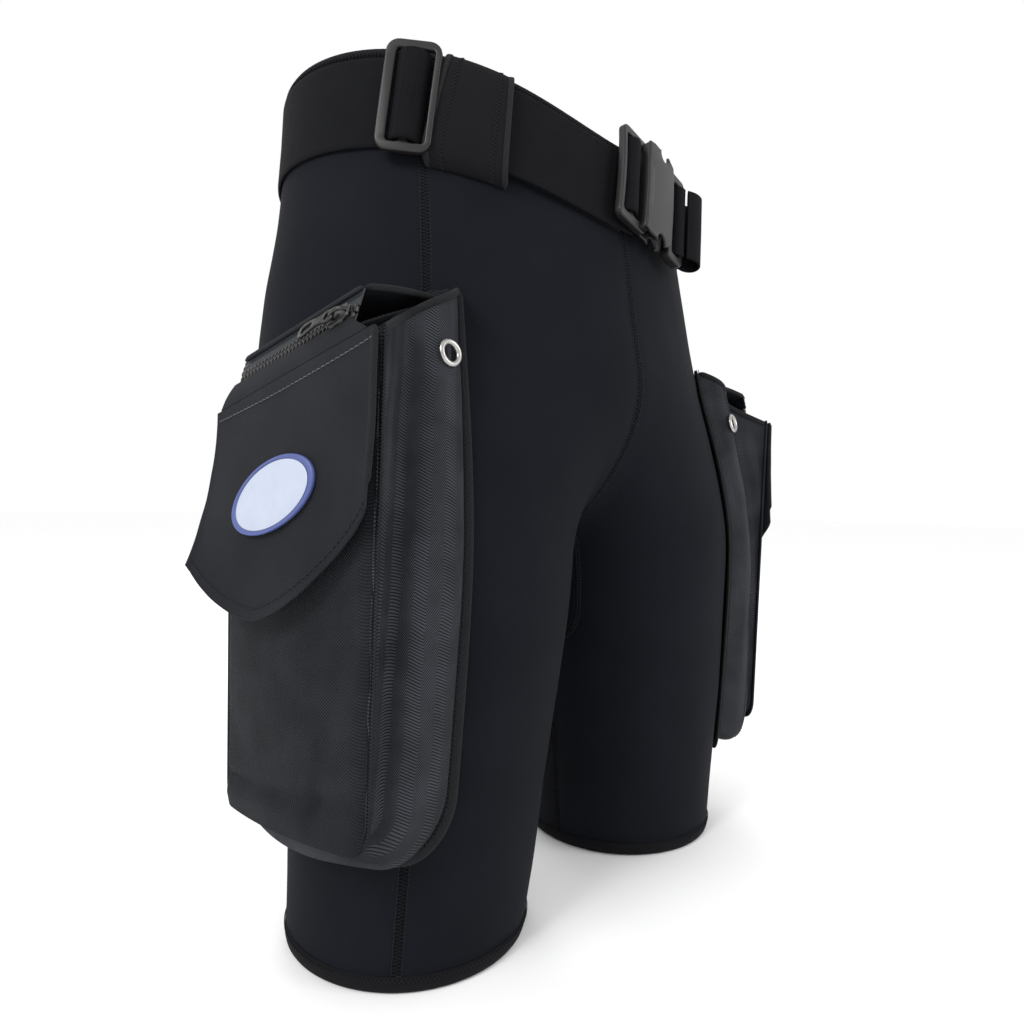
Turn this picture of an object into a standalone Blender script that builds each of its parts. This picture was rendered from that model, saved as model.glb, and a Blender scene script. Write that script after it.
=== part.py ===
"""Technical dive shorts: neoprene shell, webbing belt and two bellows side pockets.

Metres, +Z up. The wearer faces -Y, so the wearer's right side is -X. Both hems lie on z = 0
and x = 0 is the plane between the legs. Angles around a leg or the waist start at the front
and grow towards the wearer's side, so one formula serves both sides.
"""
import math
from functools import lru_cache

import bmesh
import bpy
import numpy as np
from mathutils import Vector
from mathutils.geometry import tessellate_polygon

MM = 0.001

# ---- driving dimensions --------------------------------------------------------------------
HEIGHT = 493 * MM            # hem to waist rim at the sides
FRONT_DIP = 27 * MM          # how much lower the rim is at the centre front
BACK_DIP = 12 * MM
SHELL = 4.5 * MM             # neoprene
GAP = 0.3 * MM               # clearance between touching pieces
SEAM_ANGLE = math.radians(42)  # front-side seam, from the front, around the leg axis

# waist and hips: height, half width, half depth, centre y
TORSO = (
    (200 * MM, 180 * MM, 112 * MM, 6 * MM),
    (290 * MM, 178 * MM, 120 * MM, 17 * MM),
    (360 * MM, 168 * MM, 117 * MM, 26 * MM),
    (430 * MM, 155 * MM, 112 * MM, 31 * MM),
    (510 * MM, 149 * MM, 107 * MM, 33 * MM),
)
# each leg: height, distance of its axis from x = 0, radius, centre y
LEG = (
    (0 * MM, 102 * MM, 68.5 * MM, -10 * MM),
    (110 * MM, 95.5 * MM, 76.5 * MM, -13 * MM),
    (220 * MM, 88.5 * MM, 84 * MM, -12 * MM),
    (300 * MM, 85 * MM, 85 * MM, -8 * MM),
    (500 * MM, 80 * MM, 84 * MM, 10 * MM),
)
CROTCH_BLEND = 20 * MM       # how softly the two legs run together
LEGS_END = 212 * MM          # the section is two legs below this
HIPS_START = 330 * MM        # and one ellipse above this

WEBBING = 50 * MM            # belt width
WEB_TOP = 6.5 * MM           # belt top edge below the rim
WEB = 1.9 * MM               # webbing thickness
BIND = 0.9 * MM              # binding thickness
BIND_WAIST = 5.2 * MM
BIND_HEM = 9 * MM

TRIGLIDE_AT = math.radians(62.5)
KEEPER_FRONT_AT = math.radians(46.5)
KEEPER_BACK_AT = math.radians(140)
BUCKLE_AT = math.radians(-10)
BUCKLE_TILT = math.radians(20)  # top of the buckle leans to the wearer's left
LAYER_1 = 1.0 * MM           # first belt layer above the shell
LAYER_2 = 3.3 * MM           # second belt layer
HARDWARE = 6.2 * MM          # underside of the buckle and of the tri-glide

POCKET_TURN = math.radians(10)   # pocket faces this much towards the front
POCKET_AXIS = (-91 * MM, -12 * MM)  # vertical line that the pocket's depth is measured from
FACE_S = (-55 * MM, 49 * MM)     # face panel, front edge and back edge
FACE_N = 102 * MM                # face panel's distance from the pocket axis
FACE_Z = (88 * MM, 322 * MM)     # face panel, lower edge and top edge at the front
FACE_CROWN = 6 * MM
FACE_LEAN = 7 * MM               # front edge comes forward towards its top
MOUTH_SLANT = math.radians(16)   # zipper and flap run down towards the back
BASE_ANGLE = (math.radians(28.5), math.radians(128))
BASE_Z = (73 * MM, 357 * MM)
BASE_BACK_DROP = 40 * MM         # base panel's top edge runs down to the back
CLOTH = 1.2 * MM                 # pocket fabric
ROOF_N = 95 * MM                 # where the zipper's slope starts
ROOF_Z = 346.5 * MM
ROOF_SLOPE = math.radians(70)
ZIP_S = (-44 * MM, 43 * MM)
FLAP_HINGE = (105.4 * MM, 321 * MM)
FLAP_S = (-61 * MM, 52 * MM)
SLIDER_AT = -34 * MM
POCKET_DROP = {-1: 0.0, 1: 12 * MM}  # the left pocket is sewn on a little lower


# ---- materials -----------------------------------------------------------------------------
def material(name, rgb, roughness, metallic=0.0):
    found = bpy.data.materials.get(name)
    if found:
        return found
    made = bpy.data.materials.new(name)
    made.use_nodes = True
    shader = made.node_tree.nodes["Principled BSDF"]
    shader.inputs["Base Color"].default_value = (*rgb, 1.0)
    shader.inputs["Roughness"].default_value = roughness
    shader.inputs["Metallic"].default_value = metallic
    made.diffuse_color = (*rgb, 1.0)
    return made


def neoprene():
    return material("neoprene", (0.010, 0.011, 0.016), 0.85)


def binding_cloth():
    return material("binding", (0.008, 0.008, 0.010), 0.8)


def webbing_cloth():
    return material("webbing", (0.006, 0.006, 0.008), 0.7)


def ballistic_cloth():
    return material("ballistic_nylon", (0.028, 0.030, 0.036), 0.7)


def flap_cloth():
    return material("coated_nylon", (0.030, 0.032, 0.038), 0.6)


def tape_cloth():
    return material("zipper_tape", (0.030, 0.040, 0.048), 0.45)


def acetal():
    return material("acetal", (0.030, 0.027, 0.027), 0.35)


def zip_plastic():
    return material("zipper_plastic", (0.012, 0.012, 0.014), 0.35)


def nickel():
    return material("nickel", (0.62, 0.61, 0.60), 0.3, 1.0)


def badge_rubber():
    return material("badge", (0.75, 0.78, 0.86), 0.5)


def hook_and_loop():
    return material("hook_and_loop", (0.012, 0.012, 0.014), 0.95)


# ---- meshes --------------------------------------------------------------------------------
def add_solid(name, points, faces, finish, origin=(0, 0, 0)):
    """One object from points in world space, with its origin where it turns or slides."""
    mesh = bpy.data.meshes.new(name)
    centre = Vector(origin)
    mesh.from_pydata([Vector(p) - centre for p in points], [], faces)
    solid = bmesh.new()
    solid.from_mesh(mesh)
    bmesh.ops.recalc_face_normals(solid, faces=solid.faces)
    solid.to_mesh(mesh)
    solid.free()
    mesh.shade_smooth()
    mesh.set_sharp_from_angle(angle=math.radians(35))
    mesh.materials.append(finish)
    made = bpy.data.objects.new(name, mesh)
    made.location = centre
    bpy.context.collection.objects.link(made)
    return made


def grid_solid(name, outer, inner, finish, origin=(0, 0, 0)):
    """A closed sheet between two grids of points with the same rows and columns."""
    rows, columns = outer.shape[:2]
    points = list(outer.reshape(-1, 3)) + list(inner.reshape(-1, 3))
    far = rows * columns

    def at(row, column, side):
        return side * far + row * columns + column

    faces = []
    for row in range(rows - 1):
        for column in range(columns - 1):
            for side in (0, 1):
                faces.append((at(row, column, side), at(row, column + 1, side),
                              at(row + 1, column + 1, side), at(row + 1, column, side)))
    border = [(0, c) for c in range(columns)]
    border += [(r, columns - 1) for r in range(1, rows)]
    border += [(rows - 1, c) for c in range(columns - 2, -1, -1)]
    border += [(r, 0) for r in range(rows - 2, 0, -1)]
    for here, there in zip(border, border[1:] + border[:1]):
        faces.append((at(*here, 0), at(*there, 0), at(*there, 1), at(*here, 1)))
    return add_solid(name, points, faces, finish, origin)


def thick_sheet(name, middle, thickness, finish, origin=(0, 0, 0)):
    """A sheet of even thickness around a grid of points."""
    along = np.gradient(middle, axis=0)
    across = np.gradient(middle, axis=1)
    normal = np.cross(along, across)
    normal /= np.linalg.norm(normal, axis=2, keepdims=True)
    half = thickness / 2
    return grid_solid(name, middle + normal * half, middle - normal * half, finish, origin)


def sweep(name, sections, finish, closed=False, origin=(0, 0, 0)):
    """A solid through sections that all have the same number of corners."""
    corners = len(sections[0])
    count = len(sections)
    points = [p for section in sections for p in section]
    faces = []
    for i in range(count if closed else count - 1):
        here = i * corners
        there = (i + 1) % count * corners
        for j in range(corners):
            k = (j + 1) % corners
            faces.append((here + j, here + k, there + k, there + j))
    if not closed:
        faces.append(tuple(range(corners)))
        faces.append(tuple(range((count - 1) * corners, count * corners)))
    return add_solid(name, points, faces, finish, origin)


def plate(name, outline, holes, low, high, place, finish, origin=(0, 0, 0)):
    """A flat plate with through holes; place turns (u, w, d) into a world point."""
    loops = [outline] + holes
    flat = [p for loop in loops for p in loop]
    cut = tessellate_polygon([[Vector((u, w, 0)) for u, w in loop] for loop in loops])
    count = len(flat)
    points = [place(u, w, low) for u, w in flat] + [place(u, w, high) for u, w in flat]
    faces = [tuple(t) for t in cut] + [tuple(i + count for i in reversed(t)) for t in cut]
    start = 0
    for loop in loops:
        size = len(loop)
        for i in range(size):
            here = start + i
            there = start + (i + 1) % size
            faces.append((here, there, there + count, here + count))
        start += size
    return add_solid(name, points, faces, finish, origin)


def cutter(made):
    made.hide_render = True
    made.display_type = "WIRE"
    return made


def combine(target, other, operation):
    step = target.modifiers.new(operation.lower(), "BOOLEAN")
    step.operation = operation
    step.object = cutter(other)


def rectangle(u0, u1, w0, w1, radius=0.0, steps=3):
    """Corners of a rectangle, rounded by arcs."""
    if radius <= 0:
        return [(u0, w0), (u1, w0), (u1, w1), (u0, w1)]
    points = []
    for cu, cw, start in ((u0, w0, 180), (u1, w0, 270), (u1, w1, 0), (u0, w1, 90)):
        centre_u = cu + (radius if cu == u0 else -radius)
        centre_w = cw + (radius if cw == w0 else -radius)
        for i in range(steps + 1):
            turn = math.radians(start + 90 * i / steps)
            points.append((centre_u + radius * math.cos(turn), centre_w + radius * math.sin(turn)))
    return points


# ---- the body that the shorts follow --------------------------------------------------------
@lru_cache(maxsize=None)
def prepared(table):
    """A table as arrays: heights, values and the values' slopes."""
    numbers = np.array(table)
    return numbers[:, 0], numbers[:, 1:], np.gradient(numbers[:, 1:], numbers[:, 0], axis=0)


def station(table, z):
    """Smooth values of a table's columns at height z."""
    heights, all_values, all_slopes = prepared(table)
    z = np.clip(np.asarray(z, float), heights[0], heights[-1])
    k = np.clip(np.searchsorted(heights, z) - 1, 0, len(heights) - 2)
    step = heights[k + 1] - heights[k]
    t = (z - heights[k]) / step
    values = []
    for v, slope in zip(all_values.T, all_slopes.T):
        values.append((2 * t**3 - 3 * t**2 + 1) * v[k] + (t**3 - 2 * t**2 + t) * slope[k] * step
                      + (3 * t**2 - 2 * t**3) * v[k + 1] + (t**3 - t**2) * slope[k + 1] * step)
    return values


def body_field(x, y, z):
    """Negative inside the body, zero on the shell's outer surface."""
    centre, radius, leg_y = station(LEG, z)
    legs = []
    for side in (-1, 1):
        legs.append(np.hypot(x - side * centre, y - leg_y) - radius)
    mix = np.clip(0.5 + 0.5 * (legs[1] - legs[0]) / CROTCH_BLEND, 0, 1)
    both = legs[1] * (1 - mix) + legs[0] * mix - CROTCH_BLEND * mix * (1 - mix)
    wide, deep, torso_y = station(TORSO, z)
    torso = (np.hypot(x / wide, (y - torso_y) / deep) - 1) * deep
    rise = np.clip((np.asarray(z) - LEGS_END) / (HIPS_START - LEGS_END), 0, 1)
    share = rise * rise * (3 - 2 * rise)
    return both * (1 - share) + torso * share


def cast(x, y, angle, z):
    """Distance to the surface from a point inside, in the direction of an angle."""
    dx = -np.sin(angle)
    dy = -np.cos(angle)
    steps = np.linspace(0.03, 0.3, 60).reshape((-1,) + (1,) * np.ndim(angle))
    values = body_field(x + steps * dx, y + steps * dy, z + 0 * steps)
    first = np.argmax(values > 0, axis=0)
    high = steps.ravel()[first]
    low = high - (steps.ravel()[1] - steps.ravel()[0])
    for _ in range(26):
        middle = (low + high) / 2
        inside = body_field(x + middle * dx, y + middle * dy, z) < 0
        low = np.where(inside, middle, low)
        high = np.where(inside, high, middle)
    return (low + high) / 2


def outward(points):
    """Unit normals of the body surface."""
    step = 0.5 * MM
    x, y, z = points[..., 0], points[..., 1], points[..., 2]
    slope = np.stack([
        body_field(x + step, y, z) - body_field(x - step, y, z),
        body_field(x, y + step, z) - body_field(x, y - step, z),
        body_field(x, y, z + step) - body_field(x, y, z - step)], axis=-1)
    return slope / np.linalg.norm(slope, axis=-1, keepdims=True)


def leg_point(side, angle, z, offset=0.0):
    """Surface point at an angle around a leg axis; offset along the surface normal."""
    angle = np.asarray(angle, float)
    z = np.asarray(z, float) + 0 * angle
    centre, _, leg_y = station(LEG, z)
    reach = cast(-centre, leg_y, angle, z)
    x = -centre - reach * np.sin(angle)
    y = leg_y - reach * np.cos(angle)
    points = np.stack([x, y, z], axis=-1)
    points = points + outward(points) * offset
    points[..., 0] *= -side
    return points


def rim(angle):
    """Height of the waist rim at an angle around the waist."""
    front = np.clip(np.cos(angle), 0, 1) ** 3
    back = np.clip(-np.cos(angle), 0, 1) ** 2
    return HEIGHT - FRONT_DIP * front - BACK_DIP * back


def waist_point(angle, below, offset=0.0):
    """Point at an angle around the waist, some way below the rim; right side for angle > 0."""
    angle = np.asarray(angle, float)
    z = rim(angle) - below
    _, _, torso_y = station(TORSO, z)
    reach = cast(0.0, torso_y, angle, z) + offset
    return np.stack([-reach * np.sin(angle), torso_y - reach * np.cos(angle), z], axis=-1)


def centre_edge(z, direction):
    """Where the surface crosses x = 0, in front (-1) or behind (1)."""
    _, _, leg_y = station(LEG, z)
    low, high = 0.0, 0.2
    for _ in range(40):
        middle = (low + high) / 2
        if body_field(0.0, leg_y + direction * middle, z) < 0:
            low = middle
        else:
            high = middle
    return float(leg_y + direction * low)


@lru_cache(maxsize=None)
def crotch_height():
    low, high = 0.1, 0.3
    for _ in range(40):
        middle = (low + high) / 2
        _, _, leg_y = station(LEG, middle)
        if body_field(0.0, leg_y, middle) < 0:
            high = middle
        else:
            low = middle
    return high


# ---- the neoprene shell ---------------------------------------------------------------------
def shell_rows():
    crotch = crotch_height()
    below = np.linspace(BIND_HEM + GAP, crotch - 1.0 * MM, 8)
    rise = np.linspace(0.05, 1, 14) ** 2
    above = crotch + (HEIGHT - BIND_WAIST - 3 * GAP - crotch) * rise
    return crotch, below, above


def shell_panel(name, side, front):
    """One neoprene panel, from the inseam and centre seam to the front-side seam."""
    crotch, below, above = shell_rows()
    columns = 12 if front else 19
    shift = 0.0022                                   # half the gap at a seam, in radians
    rows = []
    for z in list(below) + list(above):
        if front:
            start, stop = -math.pi / 2 + shift, SEAM_ANGLE - shift
        else:
            start, stop = SEAM_ANGLE + shift, 1.5 * math.pi - shift
        if z > crotch:
            centre, _, leg_y = station(LEG, z)
            ahead = centre_edge(z, -1 if front else 1) - leg_y
            turn = math.atan2(-float(centre), -float(ahead))
            if front:
                start = turn
            else:
                stop = turn + 2 * math.pi
        angles = np.linspace(start, stop, columns)
        flat = leg_point(-1, angles, z)
        heights = np.full(columns, z)
        if z > crotch:
            _, _, torso_y = station(TORSO, z)
            around = np.arctan2(-flat[:, 0], -(flat[:, 1] - torso_y))
            share = ((z - crotch) / (above[-1] - crotch)) ** 2
            heights = z + (rim(around) - HEIGHT) * share
        row = leg_point(-1, angles, heights)
        if z > crotch:
            edge = 0 if front else -1
            row[edge] = (0.0, centre_edge(heights[edge], -1 if front else 1), heights[edge])
        rows.append(row)
    outer = np.array(rows)
    inner = outer - outward(outer) * SHELL
    edge = 0 if front else -1
    for grid in (outer, inner):
        grid[..., 0] = np.minimum(grid[..., 0], -GAP / 2)
        grid[len(below):, edge, 0] = -GAP / 2
        grid[..., 0] *= -side
    return grid_solid(name, outer, inner, neoprene())


def binding_profile(height):
    """Rounded band that caps an edge: (offset from the shell, distance from the edge)."""
    out = BIND
    back = -SHELL - BIND
    soft = 1.5 * MM
    return [(out, height), (out, soft), (out - soft, 0), (back + soft, 0), (back, soft),
            (back, height)]


def waist_binding():
    sections = []
    for angle in np.linspace(0, 2 * math.pi, 36, endpoint=False):
        profile = binding_profile(BIND_WAIST)
        sections.append([waist_point(angle, h, d) for d, h in profile])
    sweep("waist_binding", sections, binding_cloth(), closed=True)


def hem_binding(name, side):
    sections = []
    for angle in np.linspace(0, 2 * math.pi, 28, endpoint=False):
        out = np.array([side * math.sin(angle), -math.cos(angle), 0.0])
        section = []
        for offset, height in binding_profile(BIND_HEM):
            section.append(leg_point(side, angle, height) + out * offset)
        sections.append(section)
    sweep(name, sections, binding_cloth(), closed=True)


def crotch_gusset():
    """Oval patch on the inside of the thighs, sewn over the meeting seams."""
    crotch, _, _ = shell_rows()
    half_long, half_deep = 62 * MM, 30 * MM
    radius, spread = 70 * MM, 1.15                   # of the fan of rays that places the patch
    low = crotch - radius
    columns = np.linspace(-1, 1, 13)
    rows = np.linspace(-1, 1, 9)
    _, _, leg_y = station(LEG, crotch)
    outer = np.zeros((len(rows), len(columns), 3))
    for i, r in enumerate(rows):
        for j, c in enumerate(columns):
            width = half_deep * math.sqrt(max(1 - abs(c) ** 2.4, 0.05))
            y = float(leg_y) + r * width
            turn = spread * c * half_long / radius
            direction = np.array([math.sin(turn), 0.0, math.cos(turn)])
            near, far = 0.0, 0.13
            for _ in range(30):
                middle = (near + far) / 2
                point = np.array([0, y, low]) + direction * middle
                if body_field(*point) > 0:
                    near = middle
                else:
                    far = middle
            outer[i, j] = np.array([0, y, low]) + direction * near
    normal = outward(outer)
    grid_solid("crotch_gusset", outer + normal * 2.9 * MM, outer + normal * 1.7 * MM, neoprene())


def build_shell():
    for side, word in ((-1, "right"), (1, "left")):
        shell_panel("front_panel_" + word, side, True)
        shell_panel("back_panel_" + word, side, False)
        hem_binding("hem_binding_" + word, side)
    waist_binding()
    crotch_gusset()


# ---- the belt -------------------------------------------------------------------------------
def belt_band(name, start, stop, offset, finish, thickness=WEB):
    """Webbing that follows the waist between two angles."""
    count = max(3, round(abs(stop - start) / math.radians(7)))
    sections = []
    for angle in np.linspace(start, stop, count):
        section = []
        for below in (WEB_TOP, WEB_TOP + WEBBING / 2, WEB_TOP + WEBBING):
            section.append(waist_point(angle, below, offset))
        for below in (WEB_TOP + WEBBING, WEB_TOP + WEBBING / 2, WEB_TOP):
            section.append(waist_point(angle, below, offset + thickness))
        sections.append(section)
    sweep(name, sections, finish)


def keeper(name, angle):
    """Bound neoprene loop that holds the belt to the shell."""
    half = 16 * MM / (130 * MM)
    inside = LAYER_2 + WEB + 0.9 * MM
    out = inside + 2.6 * MM
    top = 1.0 * MM
    low = WEB_TOP + WEBBING
    profile = [(1.6 * MM, top), (3.6 * MM, top), (out, WEB_TOP - 1 * MM), (out, 30 * MM),
               (out, low - 1 * MM), (3.4 * MM, low + 8 * MM), (1.0 * MM, low + 8 * MM),
               (1.0 * MM, low + 1.5 * MM), (inside, low + 0.8 * MM), (inside, 30 * MM),
               (inside, WEB_TOP - 0.6 * MM), (1.6 * MM, WEB_TOP - 1.2 * MM)]
    sections = []
    for turn in np.linspace(angle - half, angle + half, 6):
        sections.append([waist_point(turn, h, d) for d, h in profile])
    sweep(name, sections, binding_cloth())


def belt_place(angle, tilt=0.0):
    """Frame on the belt: u along it to the wearer's left, w up, d out of the body."""
    mid = WEB_TOP + WEBBING / 2
    step = 0.02
    origin = waist_point(angle, mid)
    u = waist_point(angle - step, mid) - waist_point(angle + step, mid)
    w = waist_point(angle, mid - 10 * MM) - waist_point(angle, mid + 10 * MM)
    u /= np.linalg.norm(u)
    d = np.cross(u, w)
    d /= np.linalg.norm(d)
    w = np.cross(d, u)
    u, w = u * math.cos(tilt) - w * math.sin(tilt), w * math.cos(tilt) + u * math.sin(tilt)

    def place(along, up, out):
        return origin + u * along + w * up + d * out

    return place


def wrap_over_bar(name, place, centre, bar, low, high, origin=(0, 0, 0)):
    """Webbing folded over a bar: an upside-down U between the two windows."""
    half = WEBBING / 2
    inner = bar / 2 + GAP
    outer = inner + WEB
    profile = [(-outer, low), (-outer, high), (-inner, high + WEB), (inner, high + WEB),
               (outer, high), (outer, low), (inner, low), (inner, high - 0.2 * MM),
               (-inner, high - 0.2 * MM), (-inner, low)]
    sections = []
    for up in (-half, half):
        sections.append([place(centre + u, up, d) for u, d in profile])
    sweep(name, sections, webbing_cloth(), origin=origin)


def triglide():
    place = belt_place(TRIGLIDE_AT)
    low, high = HARDWARE, HARDWARE + 3.2 * MM
    origin = place(0, 0, low)
    outline = rectangle(-16 * MM, 16 * MM, -31 * MM, 31 * MM, 4 * MM)
    windows = [rectangle(-12 * MM, -3 * MM, -26 * MM, 26 * MM),
               rectangle(3 * MM, 11 * MM, -26 * MM, 26 * MM)]
    plate("triglide", outline, windows, low, high, place, acetal(), origin)
    wrap_over_bar("triglide_webbing", place, 0, 6 * MM, low, high + 0.5 * MM, origin)


def buckle_female(place):
    low = HARDWARE
    bars = plate("buckle_female", rectangle(-36 * MM, -8 * MM, -31 * MM, 31 * MM, 3 * MM),
                 [rectangle(-32 * MM, -26 * MM, -25.6 * MM, 25.6 * MM),
                  rectangle(-22 * MM, -15 * MM, -25.6 * MM, 25.6 * MM)],
                 low, low + 4.6 * MM, place, acetal())
    notch = 6 * MM
    outline = [(-12 * MM, -31 * MM), (-3 * MM, -31 * MM), (-1 * MM, -31 * MM + notch),
               (8 * MM, -31 * MM + notch), (10 * MM, -30 * MM), (15 * MM, -28 * MM),
               (15 * MM, 28 * MM), (10 * MM, 30 * MM), (8 * MM, 31 * MM - notch),
               (-1 * MM, 31 * MM - notch), (-3 * MM, 31 * MM), (-12 * MM, 31 * MM)]
    housing = plate("buckle_housing_add", outline, [], low - 0.05 * MM, low + 9 * MM,
                    place, acetal())
    slot = plate("buckle_slot_cut", rectangle(-7 * MM, 20 * MM, -40 * MM, 40 * MM), [],
                 low + 2.2 * MM, low + 6.8 * MM, place, acetal())
    combine(bars, housing, "UNION")
    combine(bars, slot, "DIFFERENCE")
    wrap_over_bar("buckle_female_webbing", place, -24 * MM, 4 * MM, low, low + 5 * MM)


def buckle_male(place):
    low = HARDWARE
    origin = place(25 * MM, 0, low)
    frame = plate("buckle_male", rectangle(17.4 * MM, 36 * MM, -31 * MM, 31 * MM, 3 * MM),
                  [rectangle(22 * MM, 30 * MM, -25.6 * MM, 25.6 * MM)],
                  low, low + 6.4 * MM, place, acetal(), origin)
    tongue = plate("buckle_tongue_add", rectangle(2 * MM, 19 * MM, -5 * MM, 5 * MM, 1 * MM), [],
                   low + 2.7 * MM, low + 6.3 * MM, place, acetal())
    combine(frame, tongue, "UNION")
    for sign, word in ((1, "upper"), (-1, "lower")):
        hinge = place(16.6 * MM, sign * 15 * MM, low)
        arm = [(17.0, 12.5), (17.0, 17.5), (9.0, 18.5), (7.0, 25.0), (1.0, 26.0),
               (-4.0, 19.0), (-5.0, 15.0), (-2.0, 13.0)]
        outline = [(u * MM, sign * w * MM) for u, w in arm]
        plate("buckle_prong_" + word, outline, [], low + 2.7 * MM, low + 6.3 * MM,
              place, acetal(), hinge)


def belt_tail(place):
    """Webbing of the male half: round its bar, then bowing out as a loose loop."""
    low = HARDWARE
    middle = [(33.0, 8.2), (28.2, 7.4), (26.2, 3.6), (27.2, 0.2), (31.0, -1.9), (38.0, -2.6), (46.0, -2.8),
              (56.0, -1.0), (60.0, 3.5), (56.0, 8.0), (46.0, 10.5), (38.0, 11.0)]
    path = np.array(middle) * MM
    slope = np.gradient(path, axis=0)
    slope /= np.linalg.norm(slope, axis=1, keepdims=True)
    side = np.stack([-slope[:, 1], slope[:, 0]], axis=1) * WEB / 2
    sections = []
    for p, n in zip(path, side):
        section = []
        for up, edge in ((-1, 1), (1, 1), (1, -1), (-1, -1)):
            u, d = p + n * edge
            section.append(place(u, up * WEBBING / 2, low + d))
        sections.append(section)
    sweep("belt_tail_loop", sections, webbing_cloth(), origin=place(25 * MM, 0, low))


def build_belt():
    buckle = belt_place(BUCKLE_AT, BUCKLE_TILT)
    triglide()
    buckle_female(buckle)
    buckle_male(buckle)
    belt_tail(buckle)
    round_back = 2 * math.pi
    belt_band("belt_webbing_right", math.radians(4), math.radians(179), LAYER_1, webbing_cloth())
    belt_band("belt_webbing_left", math.radians(181), round_back + math.radians(-44), LAYER_1,
              webbing_cloth())
    belt_band("belt_adjuster_layer", math.radians(5), TRIGLIDE_AT - math.radians(2), LAYER_2,
              webbing_cloth(), 1.8 * MM)
    keeper("keeper_front_right", KEEPER_FRONT_AT)
    keeper("keeper_back_right", KEEPER_BACK_AT)
    keeper("keeper_back_left", -KEEPER_BACK_AT)
    keeper("keeper_front_left", -KEEPER_FRONT_AT - math.radians(14))


# ---- the pockets ----------------------------------------------------------------------------
def pocket_point(side, s, n, z):
    """World point: s to the back along the pocket, n out of it, z up."""
    turn_s, turn_c = math.sin(POCKET_TURN), math.cos(POCKET_TURN)
    x = POCKET_AXIS[0] - turn_s * s - turn_c * n
    y = POCKET_AXIS[1] + turn_c * s - turn_s * n
    return np.stack([-side * x, y, z + 0 * x - POCKET_DROP[side]], axis=-1)


def u_path(count, corner):
    """Front side, bottom and back side of a pocket as (across -1..1, up 0..1)."""
    points = [(-1.0, up) for up in np.linspace(1, corner[1], count)]
    for turn in np.linspace(0, math.pi / 2, 6)[1:]:
        points.append((-1 + corner[0] * (1 - math.cos(turn)), corner[1] * (1 - math.sin(turn))))
    points += [(a, 0.0) for a in np.linspace(-1 + corner[0], 0, 4)[1:]]
    mirrored = [(-a, up) for a, up in reversed(points[:-1])]
    return points + mirrored


def bottom_at(across, corner):
    """Lowest height share at a place across, for a rounded bottom corner."""
    into = (abs(across) - 1 + corner[0]) / corner[0]
    if into <= 0:
        return 0.0
    return corner[1] * (1 - math.sqrt(max(1 - into * into, 0.0)))


BASE_CORNER = (0.34, 0.11)
FACE_CORNER = (0.16, 0.06)


def mouth_drop(s):
    """How much lower the pocket's mouth is at a place s than at its front end."""
    return (s - FACE_S[0]) * math.tan(MOUTH_SLANT)


def base_point(side, across, up, offset):
    mid = (BASE_ANGLE[0] + BASE_ANGLE[1]) / 2
    half = (BASE_ANGLE[1] - BASE_ANGLE[0]) / 2
    top = BASE_Z[1] - BASE_BACK_DROP * ((across + 1) / 2) ** 1.5
    z = BASE_Z[0] + (top - BASE_Z[0]) * up
    return leg_point(side, mid + half * across, z - POCKET_DROP[side], offset)


def face_depth(across, up):
    """Distance of the face panel from the pocket axis; straight along its top edge."""
    full = min(1.0, (1 - up) * 3.0)
    return FACE_N + FACE_CROWN * (1 - across**2) * full * (2 - full)


def face_point(side, across, up, offset=0.0):
    s = (FACE_S[0] + FACE_S[1]) / 2 + across * (FACE_S[1] - FACE_S[0]) / 2
    s = s - FACE_LEAN * up * (1 - across) / 2
    z = FACE_Z[0] + (FACE_Z[1] - mouth_drop(s) - FACE_Z[0]) * up
    return pocket_point(side, s, face_depth(across, up) + offset, z)


def rounded_grid(point, columns, rows, corner):
    """Grid over a panel whose bottom corners are rounded."""
    grid = []
    for across in np.linspace(-1, 1, columns):
        low = bottom_at(across, corner)
        grid.append([point(across, low + (1 - low) * t) for t in np.linspace(0, 1, rows)])
    return np.array(grid)


def pocket_base(side, word):
    outer = rounded_grid(lambda a, t: base_point(side, a, t, 2.6 * MM), 15, 9, BASE_CORNER)
    inner = rounded_grid(lambda a, t: base_point(side, a, t, 1.4 * MM), 15, 9, BASE_CORNER)
    grid_solid("pocket_base_" + word, outer, inner, ballistic_cloth())


def pocket_face(side, word):
    outer = rounded_grid(lambda a, t: face_point(side, a, t, 0.6 * MM), 9, 9, FACE_CORNER)
    inner = rounded_grid(lambda a, t: face_point(side, a, t, -0.6 * MM), 9, 9, FACE_CORNER)
    grid_solid("pocket_face_" + word, outer, inner, ballistic_cloth())


def gusset_stations(side):
    """Base edge, face edge and outward direction of the bellows, station by station."""
    base_path = np.array(u_path(7, BASE_CORNER))
    face_path = u_path(7, FACE_CORNER)
    along = np.gradient(base_path * np.array([60 * MM, 280 * MM]), axis=0)
    back = pocket_point(side, 1, 0, 0) - pocket_point(side, 0, 0, 0)
    stations = []
    for (ba, bu), (fa, fu), (da, dz) in zip(base_path, face_path, along):
        start = base_point(side, ba * 0.985, 0.012 + bu * 0.98, 4.2 * MM)
        stop = face_point(side, fa * 0.975, 0.014 + fu * 0.975, -1.8 * MM)
        away = back * dz + np.array([0, 0, -da])
        stations.append((start, stop, away / np.linalg.norm(away)))
    return stations


def gusset_folds(side, start, stop, away):
    """Up to a ridge, down into a valley and up to the face: the bellows' N section."""
    out = pocket_point(side, 0, 1, 0) - pocket_point(side, 0, 0, 0)
    reach = stop - start
    depth = out * float(np.dot(reach, out))
    flat = reach - depth
    ridge = start + depth * 0.60 + flat * 0.3 + away * 4 * MM
    valley = start + depth * 0.76 + flat * 0.6 - away * 8 * MM
    return [start, (start + ridge) / 2, ridge, (ridge + valley) / 2, valley, stop]


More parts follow.
